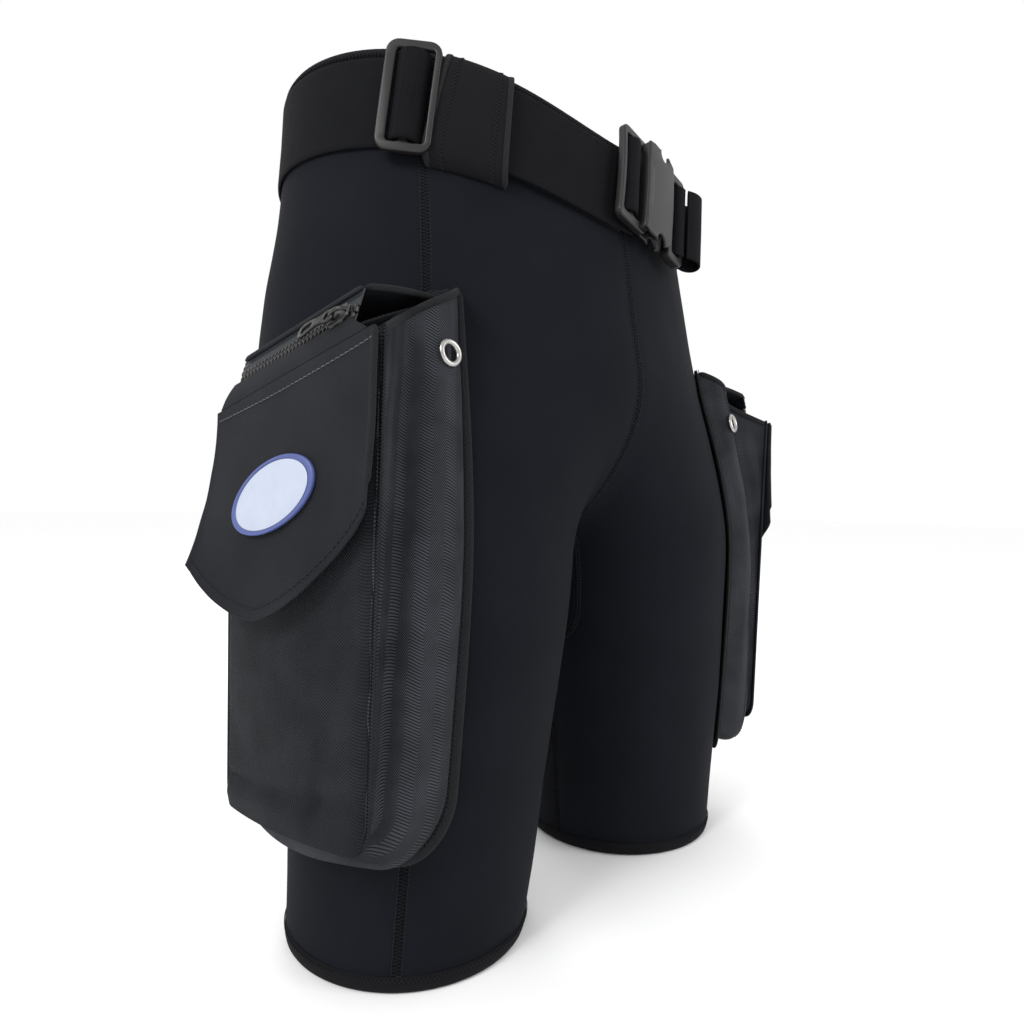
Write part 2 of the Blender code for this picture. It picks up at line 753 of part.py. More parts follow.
def pocket_gusset(side, word):
    rows = [gusset_folds(side, *station_points) for station_points in gusset_stations(side)]
    thick_sheet("pocket_gusset_" + word, np.array(rows), CLOTH, ballistic_cloth())


def eyelet(side, word):
    """Tether eyelet on the front ridge, near its top."""
    stations = gusset_stations(side)
    low = np.array(gusset_folds(side, *stations[1]))
    high = np.array(gusset_folds(side, *stations[0]))
    here = low * 0.8 + high * 0.2
    centre = here[0] * 0.55 + here[2] * 0.45
    up = high[1] - low[1]
    up /= np.linalg.norm(up)
    across = here[2] - here[0]
    across -= up * np.dot(across, up)
    across /= np.linalg.norm(across)
    out = np.cross(across, up)
    if out[1] > 0:
        out = -out
    start = CLOTH / 2 + 1.8 * MM
    profile = [(4.0, 0.0), (6.8, 0.0), (6.8, 0.5), (5.4, 1.3), (4.0, 0.8)]
    sections = []
    for turn in np.linspace(0, 2 * math.pi, 20, endpoint=False):
        ray = across * math.cos(turn) + up * math.sin(turn)
        sections.append([centre + ray * r * MM + out * (start + h * MM) for r, h in profile])
    sweep("eyelet_" + word, sections, nickel(), closed=True)


def roof_point(side, s, q, m):
    """Point on the zipper's slope: q down the slope, m out of it."""
    n = ROOF_N + q * math.cos(ROOF_SLOPE) + m * math.sin(ROOF_SLOPE)
    z = ROOF_Z - mouth_drop(s) - q * math.sin(ROOF_SLOPE) + m * math.cos(ROOF_SLOPE)
    return pocket_point(side, s, n, z)


def roof_strip(name, side, q0, q1, m0, m1, finish, s0=ZIP_S[0], s1=ZIP_S[1]):
    sections = []
    for s in (s0, s1):
        sections.append([roof_point(side, s, q, m)
                         for q, m in ((q0, m0), (q1, m0), (q1, m1), (q0, m1))])
    sweep(name, sections, finish)


def top_strip(side, word):
    """Fabric between the base panel's top edge and the zipper."""
    columns = np.linspace(-0.84, 0.84, 9)
    rows = []
    for share in np.linspace(0, 1, 4):
        row = []
        for across in columns:
            start = base_point(side, across, 0.975, 4.6 * MM)
            t = (across - columns[0]) / (columns[-1] - columns[0])
            s = ZIP_S[0] + (ZIP_S[1] - ZIP_S[0]) * t
            stop = roof_point(side, s, -0.6 * MM, 0.0)
            row.append(start * (1 - share) + stop * share)
        rows.append(row)
    thick_sheet("pocket_top_strip_" + word, np.array(rows), 1.0 * MM, ballistic_cloth())


def teeth(name, side, root, tip, tooth_shift):
    """One row of zipper teeth as a comb."""
    pitch = 8.8 * MM
    length = ZIP_S[1] - ZIP_S[0] - 2 * MM
    count = int(length / pitch)
    neck = root + (tip - root) * 0.4
    outline = []
    for i in range(count):
        s = ZIP_S[0] + 1 * MM + tooth_shift + i * pitch
        outline += [(s, neck), (s + 0.4 * MM, tip), (s + 3.8 * MM, tip), (s + 4.2 * MM, neck)]
    outline += [(ZIP_S[1] - 1 * MM, neck), (ZIP_S[1] - 1 * MM, root), (ZIP_S[0] + 0.6 * MM, root),
                (ZIP_S[0] + 0.6 * MM, neck)]

    def place(s, q, m):
        return roof_point(side, s, q, m)

    plate(name, outline, [], -1.4 * MM, 1.4 * MM, place, zip_plastic())


def zipper(side, word):
    roof_strip("zipper_tape_upper_" + word, side, 0.3 * MM, 8.4 * MM, -0.4 * MM, 0.4 * MM,
               tape_cloth())
    roof_strip("zipper_tape_lower_" + word, side, 14.6 * MM, 21.8 * MM, -0.4 * MM, 0.4 * MM,
               tape_cloth())
    teeth("zipper_teeth_upper_" + word, side, 8.7 * MM, 11.0 * MM, 0.0)
    teeth("zipper_teeth_lower_" + word, side, 14.3 * MM, 12.0 * MM, 4.4 * MM)


def slider(side, word):
    """Slider: two plates joined by a post between the two rows of teeth."""
    origin = roof_point(side, SLIDER_AT, 11.5 * MM, 2.5 * MM)
    profile = [(11.2, -1.8), (6.8, -1.8), (6.8, -2.9), (16.2, -2.9), (16.2, -1.8), (11.8, -1.8),
               (11.8, 1.8), (16.2, 1.8), (16.2, 3.0), (12.6, 3.2), (12.6, 5.4), (10.4, 5.4),
               (10.4, 3.2), (6.8, 3.0), (6.8, 1.8), (11.2, 1.8)]
    sections = []
    for s, highest in ((-6.0, 5.4), (-2.6, 5.4), (6.0, 3.2)):
        sections.append([roof_point(side, SLIDER_AT + s * MM, q * MM, min(m, highest) * MM)
                         for q, m in profile])
    sweep("zipper_slider_" + word, sections, zip_plastic(), origin=origin)


def pull_tab(side, word):
    """Pull tab lying back along the closed zipper."""
    hinge = roof_point(side, SLIDER_AT + 1.0 * MM, 11.5 * MM, 5.0 * MM)
    outline = rectangle(0.6 * MM, 24 * MM, 8.2 * MM, 14.8 * MM, 1.6 * MM)
    hole = rectangle(16 * MM, 21.5 * MM, 10 * MM, 13 * MM, 1 * MM)

    def place(s, q, m):
        return roof_point(side, SLIDER_AT + 1.0 * MM + s, q, m)

    plate("zipper_pull_" + word, outline, [hole], 4.4 * MM, 5.8 * MM, place, zip_plastic(), hinge)


def flap_length(s):
    """How far the flap hangs at a place along its top edge: a slanted, rounded tongue."""
    t = (s - FLAP_S[0]) / (FLAP_S[1] - FLAP_S[0])
    front = 78 * MM + 37 * MM * math.sin(math.pi / 2 * min(t / 0.65, 1.0)) ** 0.7
    back = 37 * MM * (max(t - 0.65, 0.0) / 0.35) ** 1.5
    return front - back


def flap_point(side, s, t, offset=0.0):
    """Point on the flap: t from its hinge line (0) to its lower edge (1)."""
    z = FLAP_HINGE[1] - mouth_drop(s) - flap_length(s) * t
    up = (z - FACE_Z[0]) / (FACE_Z[1] - mouth_drop(s) - FACE_Z[0])
    across = (s - (FACE_S[0] + FACE_S[1]) / 2) / ((FACE_S[1] - FACE_S[0]) / 2)
    across = max(-1.0, min(1.0, across))
    share = (s - FLAP_S[0]) / (FLAP_S[1] - FLAP_S[0])
    flare = (4 + 14 * share**2) * MM * t**1.8
    n = face_depth(across, min(up, 1.0)) + (FLAP_HINGE[0] - FACE_N) + flare + offset
    return pocket_point(side, s, n, z)


def flap_sheet(name, side, s_range, t_range, low, high, finish, columns=9, rows=8):
    hinge = pocket_point(side, 0.0, FLAP_HINGE[0], FLAP_HINGE[1])
    grids = []
    for offset in (high, low):
        grid = [[flap_point(side, s, t, offset) for t in np.linspace(*t_range, rows)]
                for s in np.linspace(*s_range, columns)]
        grids.append(np.array(grid))
    return grid_solid(name, grids[0], grids[1], finish, hinge)


def flap(side, word):
    flap_sheet("pocket_flap_" + word, side, FLAP_S, (0, 1), -0.8 * MM, 0.8 * MM, flap_cloth(),
               13, 9)
    flap_sheet("flap_hook_strip_" + word, side, (-28 * MM, 24 * MM), (0.70, 0.86),
               -1.9 * MM, -1.1 * MM, hook_and_loop(), 5, 3)
    outer, inner = [], []
    for s in np.linspace(-0.5, 0.5, 5):
        outer.append([face_point(side, s, up, 2.0 * MM) for up in (0.50, 0.54, 0.58)])
        inner.append([face_point(side, s, up, 1.0 * MM) for up in (0.50, 0.54, 0.58)])
    grid_solid("face_loop_strip_" + word, np.array(outer), np.array(inner), hook_and_loop())


def badge(side):
    """Plain oval badge in the middle of the flap, without any mark."""
    hinge = pocket_point(side, 0.0, FLAP_HINGE[0], FLAP_HINGE[1])
    centre_s, centre_z = -4 * MM, 249 * MM
    half_s, half_z = 28 * MM, 17.5 * MM

    def on_flap(s, z, offset):
        t = (FLAP_HINGE[1] - mouth_drop(s) - z) / flap_length(s)
        return flap_point(side, s, t, offset)

    def ring(share, offset):
        points = []
        for turn in np.linspace(0, 2 * math.pi, 28, endpoint=False):
            s = centre_s + half_s * share * math.cos(turn)
            z = centre_z + half_z * share * math.sin(turn) - (s - centre_s) * math.tan(MOUTH_SLANT)
            points.append(on_flap(s, z, offset))
        return points

    under = [(0.3, 1.3 * MM), (0.65, 1.3 * MM), (1.0, 1.3 * MM)]
    over = [(1.0, 2.2 * MM), (0.94, 2.7 * MM), (0.65, 2.7 * MM), (0.3, 2.7 * MM)]
    levels = [ring(share, offset) for share, offset in under + over]
    count = len(levels[0])
    points = [p for level in levels for p in level]
    faces = [tuple(range(count)), tuple(range((len(levels) - 1) * count, len(levels) * count))]
    for level in range(len(levels) - 1):
        for i in range(count):
            j = (i + 1) % count
            faces.append((level * count + i, level * count + j,
                          (level + 1) * count + j, (level + 1) * count + i))
    add_solid("flap_badge", points, faces, badge_rubber(), hinge)


def build_pocket(side, word):
    pocket_base(side, word)
    pocket_gusset(side, word)
    pocket_face(side, word)
    top_strip(side, word)
    zipper(side, word)
    slider(side, word)
    pull_tab(side, word)
    flap(side, word)
    eyelet(side, word)


def main():
    for old in list(bpy.data.objects):
        bpy.data.objects.remove(old)
    build_shell()
    build_belt()
    build_pocket(-1, "right")
    build_pocket(1, "left")
    badge(-1)


main()
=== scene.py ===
"""Looks of the dive shorts: neoprene shell, webbing belt and two bellows side pockets.

Metres, +Z up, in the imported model's frame. The wearer faces -Y and the wearer's right side is
-X. Angles around a leg or the waist start at the front and grow towards the wearer's side.
"""

import math

import bmesh
import bpy
import numpy as np
from mathutils import Matrix, Vector, noise


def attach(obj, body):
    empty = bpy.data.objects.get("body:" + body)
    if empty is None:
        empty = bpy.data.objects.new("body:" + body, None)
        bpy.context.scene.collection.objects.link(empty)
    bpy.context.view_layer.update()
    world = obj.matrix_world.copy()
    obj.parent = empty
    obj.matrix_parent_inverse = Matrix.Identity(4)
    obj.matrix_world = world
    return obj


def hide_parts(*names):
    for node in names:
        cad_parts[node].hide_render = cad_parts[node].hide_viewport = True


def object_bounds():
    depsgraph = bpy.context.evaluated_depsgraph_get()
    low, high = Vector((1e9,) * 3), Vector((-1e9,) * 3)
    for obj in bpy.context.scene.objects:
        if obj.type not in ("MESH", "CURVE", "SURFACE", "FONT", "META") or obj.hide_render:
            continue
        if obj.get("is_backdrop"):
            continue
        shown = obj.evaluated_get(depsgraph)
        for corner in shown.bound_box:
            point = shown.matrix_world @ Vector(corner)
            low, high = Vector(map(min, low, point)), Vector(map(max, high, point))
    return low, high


MM = 0.001
ROOT = "shorts"
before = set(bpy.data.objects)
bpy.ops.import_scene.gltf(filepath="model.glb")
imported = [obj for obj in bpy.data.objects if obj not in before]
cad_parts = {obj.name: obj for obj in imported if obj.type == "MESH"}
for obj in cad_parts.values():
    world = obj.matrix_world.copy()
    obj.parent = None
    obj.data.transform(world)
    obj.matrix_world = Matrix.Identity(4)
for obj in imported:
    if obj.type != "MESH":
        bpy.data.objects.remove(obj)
cad_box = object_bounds()

# ---- driving dimensions of the visible pieces, within a few mm of the frame's nodes ---------
HEIGHT = 493 * MM
FRONT_DIP = 27 * MM
BACK_DIP = 12 * MM
SHELL = 4.5 * MM
SEAM_ANGLE = math.radians(42)

# waist and hips: height, half width, half depth, centre y
TORSO = np.array([
    (200, 180, 112, 6), (290, 178, 120, 17), (360, 168, 117, 26), (430, 155, 112, 31),
    (510, 149, 107, 33)]) * MM
# each leg: height, distance of its axis from x = 0, radius, centre y
LEG = np.array([
    (0, 102, 68.5, -10), (110, 95.5, 76.5, -13), (220, 88.5, 84, -12), (300, 85, 85, -8),
    (500, 80, 84, 10)]) * MM
CROTCH_BLEND = 20 * MM
LEGS_END = 212 * MM
HIPS_START = 330 * MM

WEBBING = 50 * MM
WEB_TOP = 6.5 * MM
WEB = 1.9 * MM
BIND = 0.9 * MM
BIND_WAIST = 5.2 * MM
BIND_HEM = 9 * MM
TRIGLIDE_AT = math.radians(62.5)
KEEPER_FRONT_AT = math.radians(46.5)
KEEPER_BACK_AT = math.radians(140)
BUCKLE_AT = math.radians(-10)
BUCKLE_TILT = math.radians(20)
LAYER_1 = 1.0 * MM
LAYER_2 = 3.3 * MM
HARDWARE = 6.2 * MM

POCKET_TURN = math.radians(10)
POCKET_AXIS = (-91 * MM, -12 * MM)
FACE_S = (-55 * MM, 49 * MM)
FACE_N = 102 * MM
FACE_Z = (88 * MM, 322 * MM)
FACE_CROWN = 6 * MM
FACE_LEAN = 7 * MM
MOUTH_SLANT = math.radians(16)
BASE_ANGLE = (math.radians(28.5), math.radians(128))
BASE_Z = (73 * MM, 357 * MM)
BASE_BACK_DROP = 52 * MM
BASE_CORNER = (0.34, 0.11)
FACE_CORNER = (0.16, 0.06)
ROOF_N = 95 * MM
ROOF_Z = 346.5 * MM
ROOF_SLOPE = math.radians(70)
ZIP_S = (-44 * MM, 43 * MM)
FLAP_HINGE = (105.4 * MM, 321 * MM)
FLAP_S = (-61 * MM, 52 * MM)
SLIDER_AT = -34 * MM
BELLOWS_COLUMNS = 44
RIDGE_COLUMN = 17
POCKET_DROP = {-1: 0.0, 1: 12 * MM}  # the left pocket is sewn on a little lower

THREAD = 0.28 * MM
TOOTH_PITCH = 2.7 * MM

# ---- camera ---------------------------------------------------------------------------------
CAMERA_AZIMUTH = math.radians(45.7)
CAMERA_REACH = 504.4 * MM
CAMERA_HEIGHT = 251.2 * MM
CAMERA_HEADING = math.radians(44.92)
CAMERA_PITCH = math.radians(-1.39)
CAMERA_ROLL = math.radians(0.93)
CAMERA_LENS = 25.46          # millimetres on a 36 mm sensor


# ---- materials ------------------------------------------------------------------------------
def maths(tree, operation, *values):
    """A Math node; its values are numbers or sockets."""
    made = tree.nodes.new("ShaderNodeMath")
    made.operation = operation
    for socket, value in zip(made.inputs, values):
        if isinstance(value, (int, float)):
            socket.default_value = value
        else:
            tree.links.new(value, socket)
    return made.outputs[0]


def cloth_coordinates(tree):
    """Metres across and along the cloth."""
    source = tree.nodes.new("ShaderNodeUVMap")
    source.uv_map = "cloth"
    split = tree.nodes.new("ShaderNodeSeparateXYZ")
    tree.links.new(source.outputs[0], split.inputs[0])
    return split.outputs[0], split.outputs[1]


def grain(tree, size, detail=3.0):
    """Noise in the object's own space; size is a speck's size in metres."""
    place = tree.nodes.new("ShaderNodeTexCoord")
    made = tree.nodes.new("ShaderNodeTexNoise")
    made.inputs["Scale"].default_value = 1 / size
    made.inputs["Detail"].default_value = detail
    tree.links.new(place.outputs["Object"], made.inputs["Vector"])
    return made.outputs["Fac"]


def stretch(tree, value, low, high):
    """0 below low, 1 above high and straight between them."""
    made = tree.nodes.new("ShaderNodeMapRange")
    made.inputs["From Min"].default_value = low
    made.inputs["From Max"].default_value = high
    tree.links.new(value, made.inputs["Value"])
    return made.outputs["Result"]


def blend_colours(tree, share, dark, light):
    made = tree.nodes.new("ShaderNodeMix")
    made.data_type = "RGBA"
    made.inputs["A"].default_value = (*dark, 1)
    made.inputs["B"].default_value = (*light, 1)
    tree.links.new(share, made.inputs["Factor"])
    return made.outputs["Result"]


def finish(name, dark, light, roughness, share, relief, depth, metallic=0.0, sheen=0.0,
           coat=0.0, specular=0.5):
    """A material; share(tree) mixes the two colours and relief(tree) is its height, 0 to 1."""
    made = bpy.data.materials.new(name)
    made.use_nodes = True
    tree = made.node_tree
    shader = tree.nodes["Principled BSDF"]
    shader.inputs["Roughness"].default_value = roughness
    shader.inputs["Metallic"].default_value = metallic
    shader.inputs["Sheen Weight"].default_value = sheen
    shader.inputs["Sheen Roughness"].default_value = 0.45
    shader.inputs["Coat Weight"].default_value = coat
    shader.inputs["Specular IOR Level"].default_value = specular
    tree.links.new(blend_colours(tree, share(tree), dark, light), shader.inputs["Base Color"])
    bump = tree.nodes.new("ShaderNodeBump")
    bump.inputs["Strength"].default_value = 1.0
    bump.inputs["Distance"].default_value = depth
    tree.links.new(relief(tree), bump.inputs["Height"])
    tree.links.new(bump.outputs[0], shader.inputs["Normal"])
    return made


def herringbone(tree, pitch=1.5 * MM, column=6.6 * MM):
    """Chevron rows of slanting threads."""
    u, v = cloth_coordinates(tree)
    slant = maths(tree, "ADD", v, maths(tree, "PINGPONG", u, column))
    thread = maths(tree, "ABSOLUTE", maths(tree, "SINE",
                                           maths(tree, "MULTIPLY", slant, math.pi / pitch)))
    return thread


def basket(tree, pitch=1.6 * MM):
    """Square over-and-under weave."""
    u, v = cloth_coordinates(tree)
    across = maths(tree, "SINE", maths(tree, "MULTIPLY", u, math.pi * 2 / pitch))
    along = maths(tree, "SINE", maths(tree, "MULTIPLY", v, math.pi * 2 / pitch))
    return maths(tree, "MULTIPLY_ADD", maths(tree, "MULTIPLY", across, along), 0.5, 0.5)


def ribs(tree, pitch=1.0 * MM):
    """Webbing: narrow ribs along it, with the weft showing across them."""
    u, v = cloth_coordinates(tree)
    across = maths(tree, "SINE", maths(tree, "MULTIPLY", v, math.pi * 2 / pitch))
    along = maths(tree, "SINE", maths(tree, "MULTIPLY", u, math.pi * 2 / (pitch * 0.8)))
    return maths(tree, "MULTIPLY_ADD", along, 0.2, maths(tree, "MULTIPLY_ADD", across, 0.3, 0.5))


def speckle(size):
    return lambda tree: grain(tree, size)


def weave_shade_and_patches(pattern, size):
    """Painted shade and highlight from a weave's height: dark between its threads, light on their
    crests, and darker in soft patches of uneven tone.
    """
    def share(tree):
        patches = stretch(tree, grain(tree, size), 0.35, 0.65)
        return maths(tree, "MULTIPLY", pattern(tree), maths(tree, "MULTIPLY_ADD", patches, 0.4, 0.6))
    return share


def lint(size):
    """Mostly even, with small pale specks of lint and soft patches."""
    def share(tree):
        specks = stretch(tree, grain(tree, size, 1.0), 0.70, 0.78)
        patches = stretch(tree, grain(tree, 40 * MM), 0.3, 0.7)
        return maths(tree, "MULTIPLY_ADD", patches, 0.5, maths(tree, "MULTIPLY", specks, 0.5))
    return share


# The webbing, herringbone, basket and zipper tape colours follow their weave's height: painted shade
# between the threads and painted highlight on their crests.
FINISHES = {
    "neoprene": finish("neoprene_knit", (0.0030, 0.0036, 0.0062), (0.0052, 0.0062, 0.0098), 0.85,
                       lint(2.5 * MM), speckle(0.9 * MM), 0.22 * MM, specular=0.12),
    "binding": finish("binding_knit", (0.0038, 0.0038, 0.0050), (0.0064, 0.0064, 0.0078), 0.85,
                      lint(2.5 * MM), speckle(0.7 * MM), 0.25 * MM, specular=0.14),
    "edging": finish("edging_tape", (0.0060, 0.0064, 0.0076), (0.0170, 0.0176, 0.0195), 0.9,
                     speckle(0.8 * MM), speckle(0.7 * MM), 0.7 * MM, sheen=0.03, specular=0.15),
    "webbing": finish("webbing_weave", (0.0016, 0.0017, 0.0026), (0.0046, 0.0049, 0.0068), 0.78,
                      weave_shade_and_patches(ribs, 18 * MM), ribs, 0.20 * MM, specular=0.10),
    "herringbone": finish("nylon_herringbone", (0.0008, 0.0009, 0.0014), (0.050, 0.054, 0.064), 0.72,
                          weave_shade_and_patches(herringbone, 25 * MM), herringbone, 0.5 * MM, specular=0.12),
    "basket": finish("nylon_basket", (0.0010, 0.0012, 0.0018), (0.0250, 0.0270, 0.0330), 0.72,
                     weave_shade_and_patches(basket, 25 * MM), basket, 0.4 * MM, specular=0.12),
    "coated_nylon": finish("nylon_coated", (0.0060, 0.0067, 0.0090), (0.0140, 0.0152, 0.0195), 0.70,
                           lint(1.6 * MM), lambda tree: basket(tree, 0.9 * MM), 0.16 * MM,
                           specular=0.16),
    "zipper_tape": finish("tape_coated", (0.0040, 0.0062, 0.0090), (0.0090, 0.0130, 0.0175), 0.42,
                          weave_shade_and_patches(lambda tree: ribs(tree, 1.4 * MM), 12 * MM),
                          lambda tree: ribs(tree, 1.4 * MM), 0.10 * MM, coat=0.06, specular=0.3),
    "zipper_plastic": finish("zip_moulding", (0.014, 0.014, 0.016), (0.030, 0.029, 0.029), 0.3,
                             speckle(3 * MM), speckle(0.6 * MM), 0.03 * MM, coat=0.1),
    "gunmetal": finish("zip_gunmetal", (0.030, 0.030, 0.031), (0.050, 0.049, 0.048), 0.28,
                       speckle(2 * MM), speckle(0.5 * MM), 0.02 * MM, metallic=0.7),
    "acetal": finish("acetal_satin", (0.0080, 0.0068, 0.0068), (0.0125, 0.0108, 0.0105), 0.40,
                     speckle(8 * MM), speckle(0.45 * MM), 0.03 * MM, specular=0.35),
    "nickel": finish("nickel_satin", (0.36, 0.355, 0.34), (0.46, 0.455, 0.44), 0.30,
                     speckle(2 * MM), speckle(0.6 * MM), 0.02 * MM, metallic=1.0),
    "badge": finish("badge_field", (0.36, 0.40, 0.49), (0.41, 0.45, 0.54), 0.5,
                    speckle(6 * MM), speckle(0.8 * MM), 0.05 * MM),
    "badge_rim": finish("badge_rim", (0.045, 0.065, 0.210), (0.060, 0.085, 0.250), 0.5,
                        speckle(6 * MM), speckle(0.8 * MM), 0.05 * MM),
    "thread": finish("stitching_thread", (0.0055, 0.0062, 0.0080), (0.0130, 0.0140, 0.0170), 0.7,
                     speckle(0.8 * MM), speckle(0.4 * MM), 0.05 * MM, specular=0.2),
    "pale_thread": finish("flap_thread", (0.040, 0.044, 0.050), (0.085, 0.092, 0.102), 0.6,
                          speckle(0.8 * MM), speckle(0.4 * MM), 0.05 * MM),
    "hook_and_loop": finish("loop_pile", (0.006, 0.006, 0.007), (0.022, 0.022, 0.024), 0.95,
                            speckle(0.7 * MM), speckle(0.5 * MM), 0.6 * MM, sheen=0.2),
}
SLOT_OF = {"edging": "binding", "herringbone": "ballistic_nylon", "basket": "ballistic_nylon",
           "gunmetal": "zipper_plastic", "badge_rim": "badge", "thread": "webbing",
           "pale_thread": "coated_nylon"}


# ---- meshes ---------------------------------------------------------------------------------
def settle(piece, finish_name, body, *nodes):
    """Give a piece its material and body, and hide the CAD nodes that it replaces."""
    piece.data.materials.clear()
    piece.data.materials.append(FINISHES[finish_name])
    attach(piece, body)
    SLOT_OF.get(finish_name, finish_name)
    if nodes:
        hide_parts(*nodes)
    return piece


def mesh_piece(name, points, faces, uvs=None, sharp=40):
    """One object from points and faces, with the cloth's own coordinates in metres."""
    mesh = bpy.data.meshes.new(name)
    mesh.from_pydata([tuple(p) for p in points], [], faces)
    work = bmesh.new()
    work.from_mesh(mesh)
    bmesh.ops.recalc_face_normals(work, faces=work.faces)
    work.to_mesh(mesh)
    work.free()
    if uvs is not None:
        corners = np.empty(len(mesh.loops), dtype=np.int32)
        mesh.loops.foreach_get("vertex_index", corners)
        layer = mesh.uv_layers.new(name="cloth")
        layer.data.foreach_set("uv", np.asarray(uvs, dtype=np.float32)[corners].ravel())
    mesh.shade_smooth()
    mesh.set_sharp_from_angle(angle=math.radians(sharp))
    made = bpy.data.objects.new(name, mesh)
    bpy.context.scene.collection.objects.link(made)
    return made


def distances(points):
    """Length along a row of points, from its start."""
    steps = np.linalg.norm(np.diff(points, axis=0), axis=-1)
    return np.concatenate([[0.0], np.cumsum(steps)])


def sheet_piece(name, outer, inner, sharp=50):
    """A closed sheet between two grids of points with the same rows and columns."""
    rows, columns = outer.shape[:2]
    far = rows * columns
    u = np.array([distances(row) for row in outer])
    v = np.array([distances(column) for column in outer.transpose(1, 0, 2)]).T
    flat = np.stack([u.ravel(), v.ravel()], axis=-1)
    points = np.concatenate([outer.reshape(-1, 3), inner.reshape(-1, 3)])
    faces = []
    for row in range(rows - 1):
        for column in range(columns - 1):
            a = row * columns + column
            quad = (a, a + 1, a + columns + 1, a + columns)
            faces.append(quad)
            faces.append(tuple(i + far for i in reversed(quad)))
    border = [c for c in range(columns)]
    border += [r * columns + columns - 1 for r in range(1, rows)]
    border += [(rows - 1) * columns + c for c in range(columns - 2, -1, -1)]
    border += [r * columns for r in range(rows - 2, 0, -1)]
    for here, there in zip(border, border[1:] + border[:1]):
        faces.append((here, there, there + far, here + far))
    return mesh_piece(name, points, faces, np.concatenate([flat, flat]), sharp)


def unit(vectors):
    """Vectors of length 1; a vector of no length stays so."""
    return vectors / np.maximum(np.linalg.norm(vectors, axis=-1, keepdims=True), 1e-9)


def grid_normals(grid):
    return unit(np.cross(np.gradient(grid, axis=0), np.gradient(grid, axis=1)))


def side_of(path, normals):
    """Directions along the surface, square to a path on it."""
    return unit(np.cross(np.gradient(path, axis=0), normals))


def spread_normals(normals, count):
    """The normals along a path, read at count places."""
    wanted = np.linspace(0, 1, count)
    known = np.linspace(0, 1, len(normals))
    return np.stack([np.interp(wanted, known, normals[:, i]) for i in range(3)], axis=-1)


def thick_sheet(name, middle, thickness, sharp=50):
    """A closed sheet of even thickness round a grid of middle points."""
    normal = grid_normals(middle)
    half = thickness / 2
    return sheet_piece(name, middle + normal * half, middle - normal * half, sharp)


def sweep_piece(name, sections, closed=False, sharp=50):
    """A solid through sections with the same number of corners."""
    sections = np.asarray(sections)
    count, corners = sections.shape[:2]
    along = distances(sections[:, 0])
    around = distances(sections[0])
    u, v = np.meshgrid(along, around, indexing="ij")
    faces = []
    for i in range(count if closed else count - 1):
        here, there = i * corners, (i + 1) % count * corners
        for j in range(corners):
            k = (j + 1) % corners
            faces.append((here + j, here + k, there + k, there + j))
    if not closed:
        faces.append(tuple(range(corners)))
        faces.append(tuple(range((count - 1) * corners, count * corners)))
    flat = np.stack([u.ravel(), v.ravel()], axis=-1)
    return mesh_piece(name, sections.reshape(-1, 3), faces, flat, sharp)


def ripple(points, normal, size, amount, seed=0.0, fade=1.0):
    """Soft unevenness along the normals; fade is 1 where it is full."""
    shape = points.shape[:-1]
    values = [noise.noise(Vector(p) / size + Vector((seed, seed * 0.7, 0)))
              for p in points.reshape(-1, 3)]
    height = np.array(values).reshape(shape) * amount * fade
    return points + normal * height[..., None]


def resample(points, spacing):
    """Evenly spaced points along a path."""
    length = distances(points)
    count = max(2, int(length[-1] / spacing))
    wanted = np.linspace(0, length[-1], count)
    return np.stack([np.interp(wanted, length, points[:, i]) for i in range(3)], axis=-1)


def spline_through(points, count):
    """Smooth open curve drawn by control points, ending at the first and the last."""
    control = np.concatenate([[points[0] * 2 - points[1]], points, [points[-1] * 2 - points[-2]]])
    spans = len(control) - 3
    wanted = np.linspace(0, spans, count)
    k = np.minimum(wanted.astype(int), spans - 1)
    t = (wanted - k)[:, None]
    a, b, c, d = control[k], control[k + 1], control[k + 2], control[k + 3]
    return ((1 - t)**3 * a + (3 * t**3 - 6 * t**2 + 4) * b
            + (-3 * t**3 + 3 * t**2 + 3 * t + 1) * c + t**3 * d) / 6


def threads(name, paths, radius, finish_name, body, *nodes):
    """Many short threads as one mesh."""
    curve = bpy.data.curves.new(name, "CURVE")
    curve.dimensions = "3D"
    curve.bevel_depth = radius
    curve.bevel_resolution = 1
    curve.use_fill_caps = True
    for path in paths:
        spline = curve.splines.new("POLY")
        spline.points.add(len(path) - 1)
        flat = np.concatenate([np.asarray(path), np.ones((len(path), 1))], axis=1)
        spline.points.foreach_set("co", flat.ravel())
    source = bpy.data.objects.new(name + "_curve", curve)
    mesh = bpy.data.meshes.new_from_object(source)
    mesh.name = name
    bpy.data.objects.remove(source)
    bpy.data.curves.remove(curve)
    mesh.shade_smooth()
    made = bpy.data.objects.new(name, mesh)
    bpy.context.scene.collection.objects.link(made)
    return settle(made, finish_name, body, *nodes)


def running_stitch(path, normals, length=2.4 * MM, gap=0.7 * MM, lift=0.3 * MM):
    """Short arcs that dip into the cloth at both ends."""
    step = (length + gap) / 4
    points = resample(path, step)
    out = spread_normals(normals, len(points))
    rise = np.array([-lift * 0.6, lift, lift, -lift * 0.6])
    arcs = []
    for i in range(0, len(points) - 3, 4):
        arcs.append(points[i:i + 4] + out[i:i + 4] * rise[:, None])
    return arcs


def zigzag_stitch(path, normals, width, pitch=1.7 * MM, lift=0.25 * MM):
    """One thread that crosses a seam from side to side."""
    points = resample(path, pitch / 2)
    out = spread_normals(normals, len(points))
    side = side_of(points, out)
    turn = np.where(np.arange(len(points)) % 2 == 0, 1.0, -1.0)[:, None]
    return [points + side * turn * width / 2 + out * lift]


def flatlock(path, normals, width=5.2 * MM):
    """Flat seam: a dense crossing thread between two needle lines."""
    side = side_of(path, normals)
    lines = zigzag_stitch(path, normals, width, 1.9 * MM)
    lines += zigzag_stitch(path, normals, width * 0.45, 1.9 * MM, 0.35 * MM)
    for edge in (-0.5, 0.5):
        lines += running_stitch(path + side * width * edge, normals, 2.0 * MM, 0.5 * MM)
    return lines


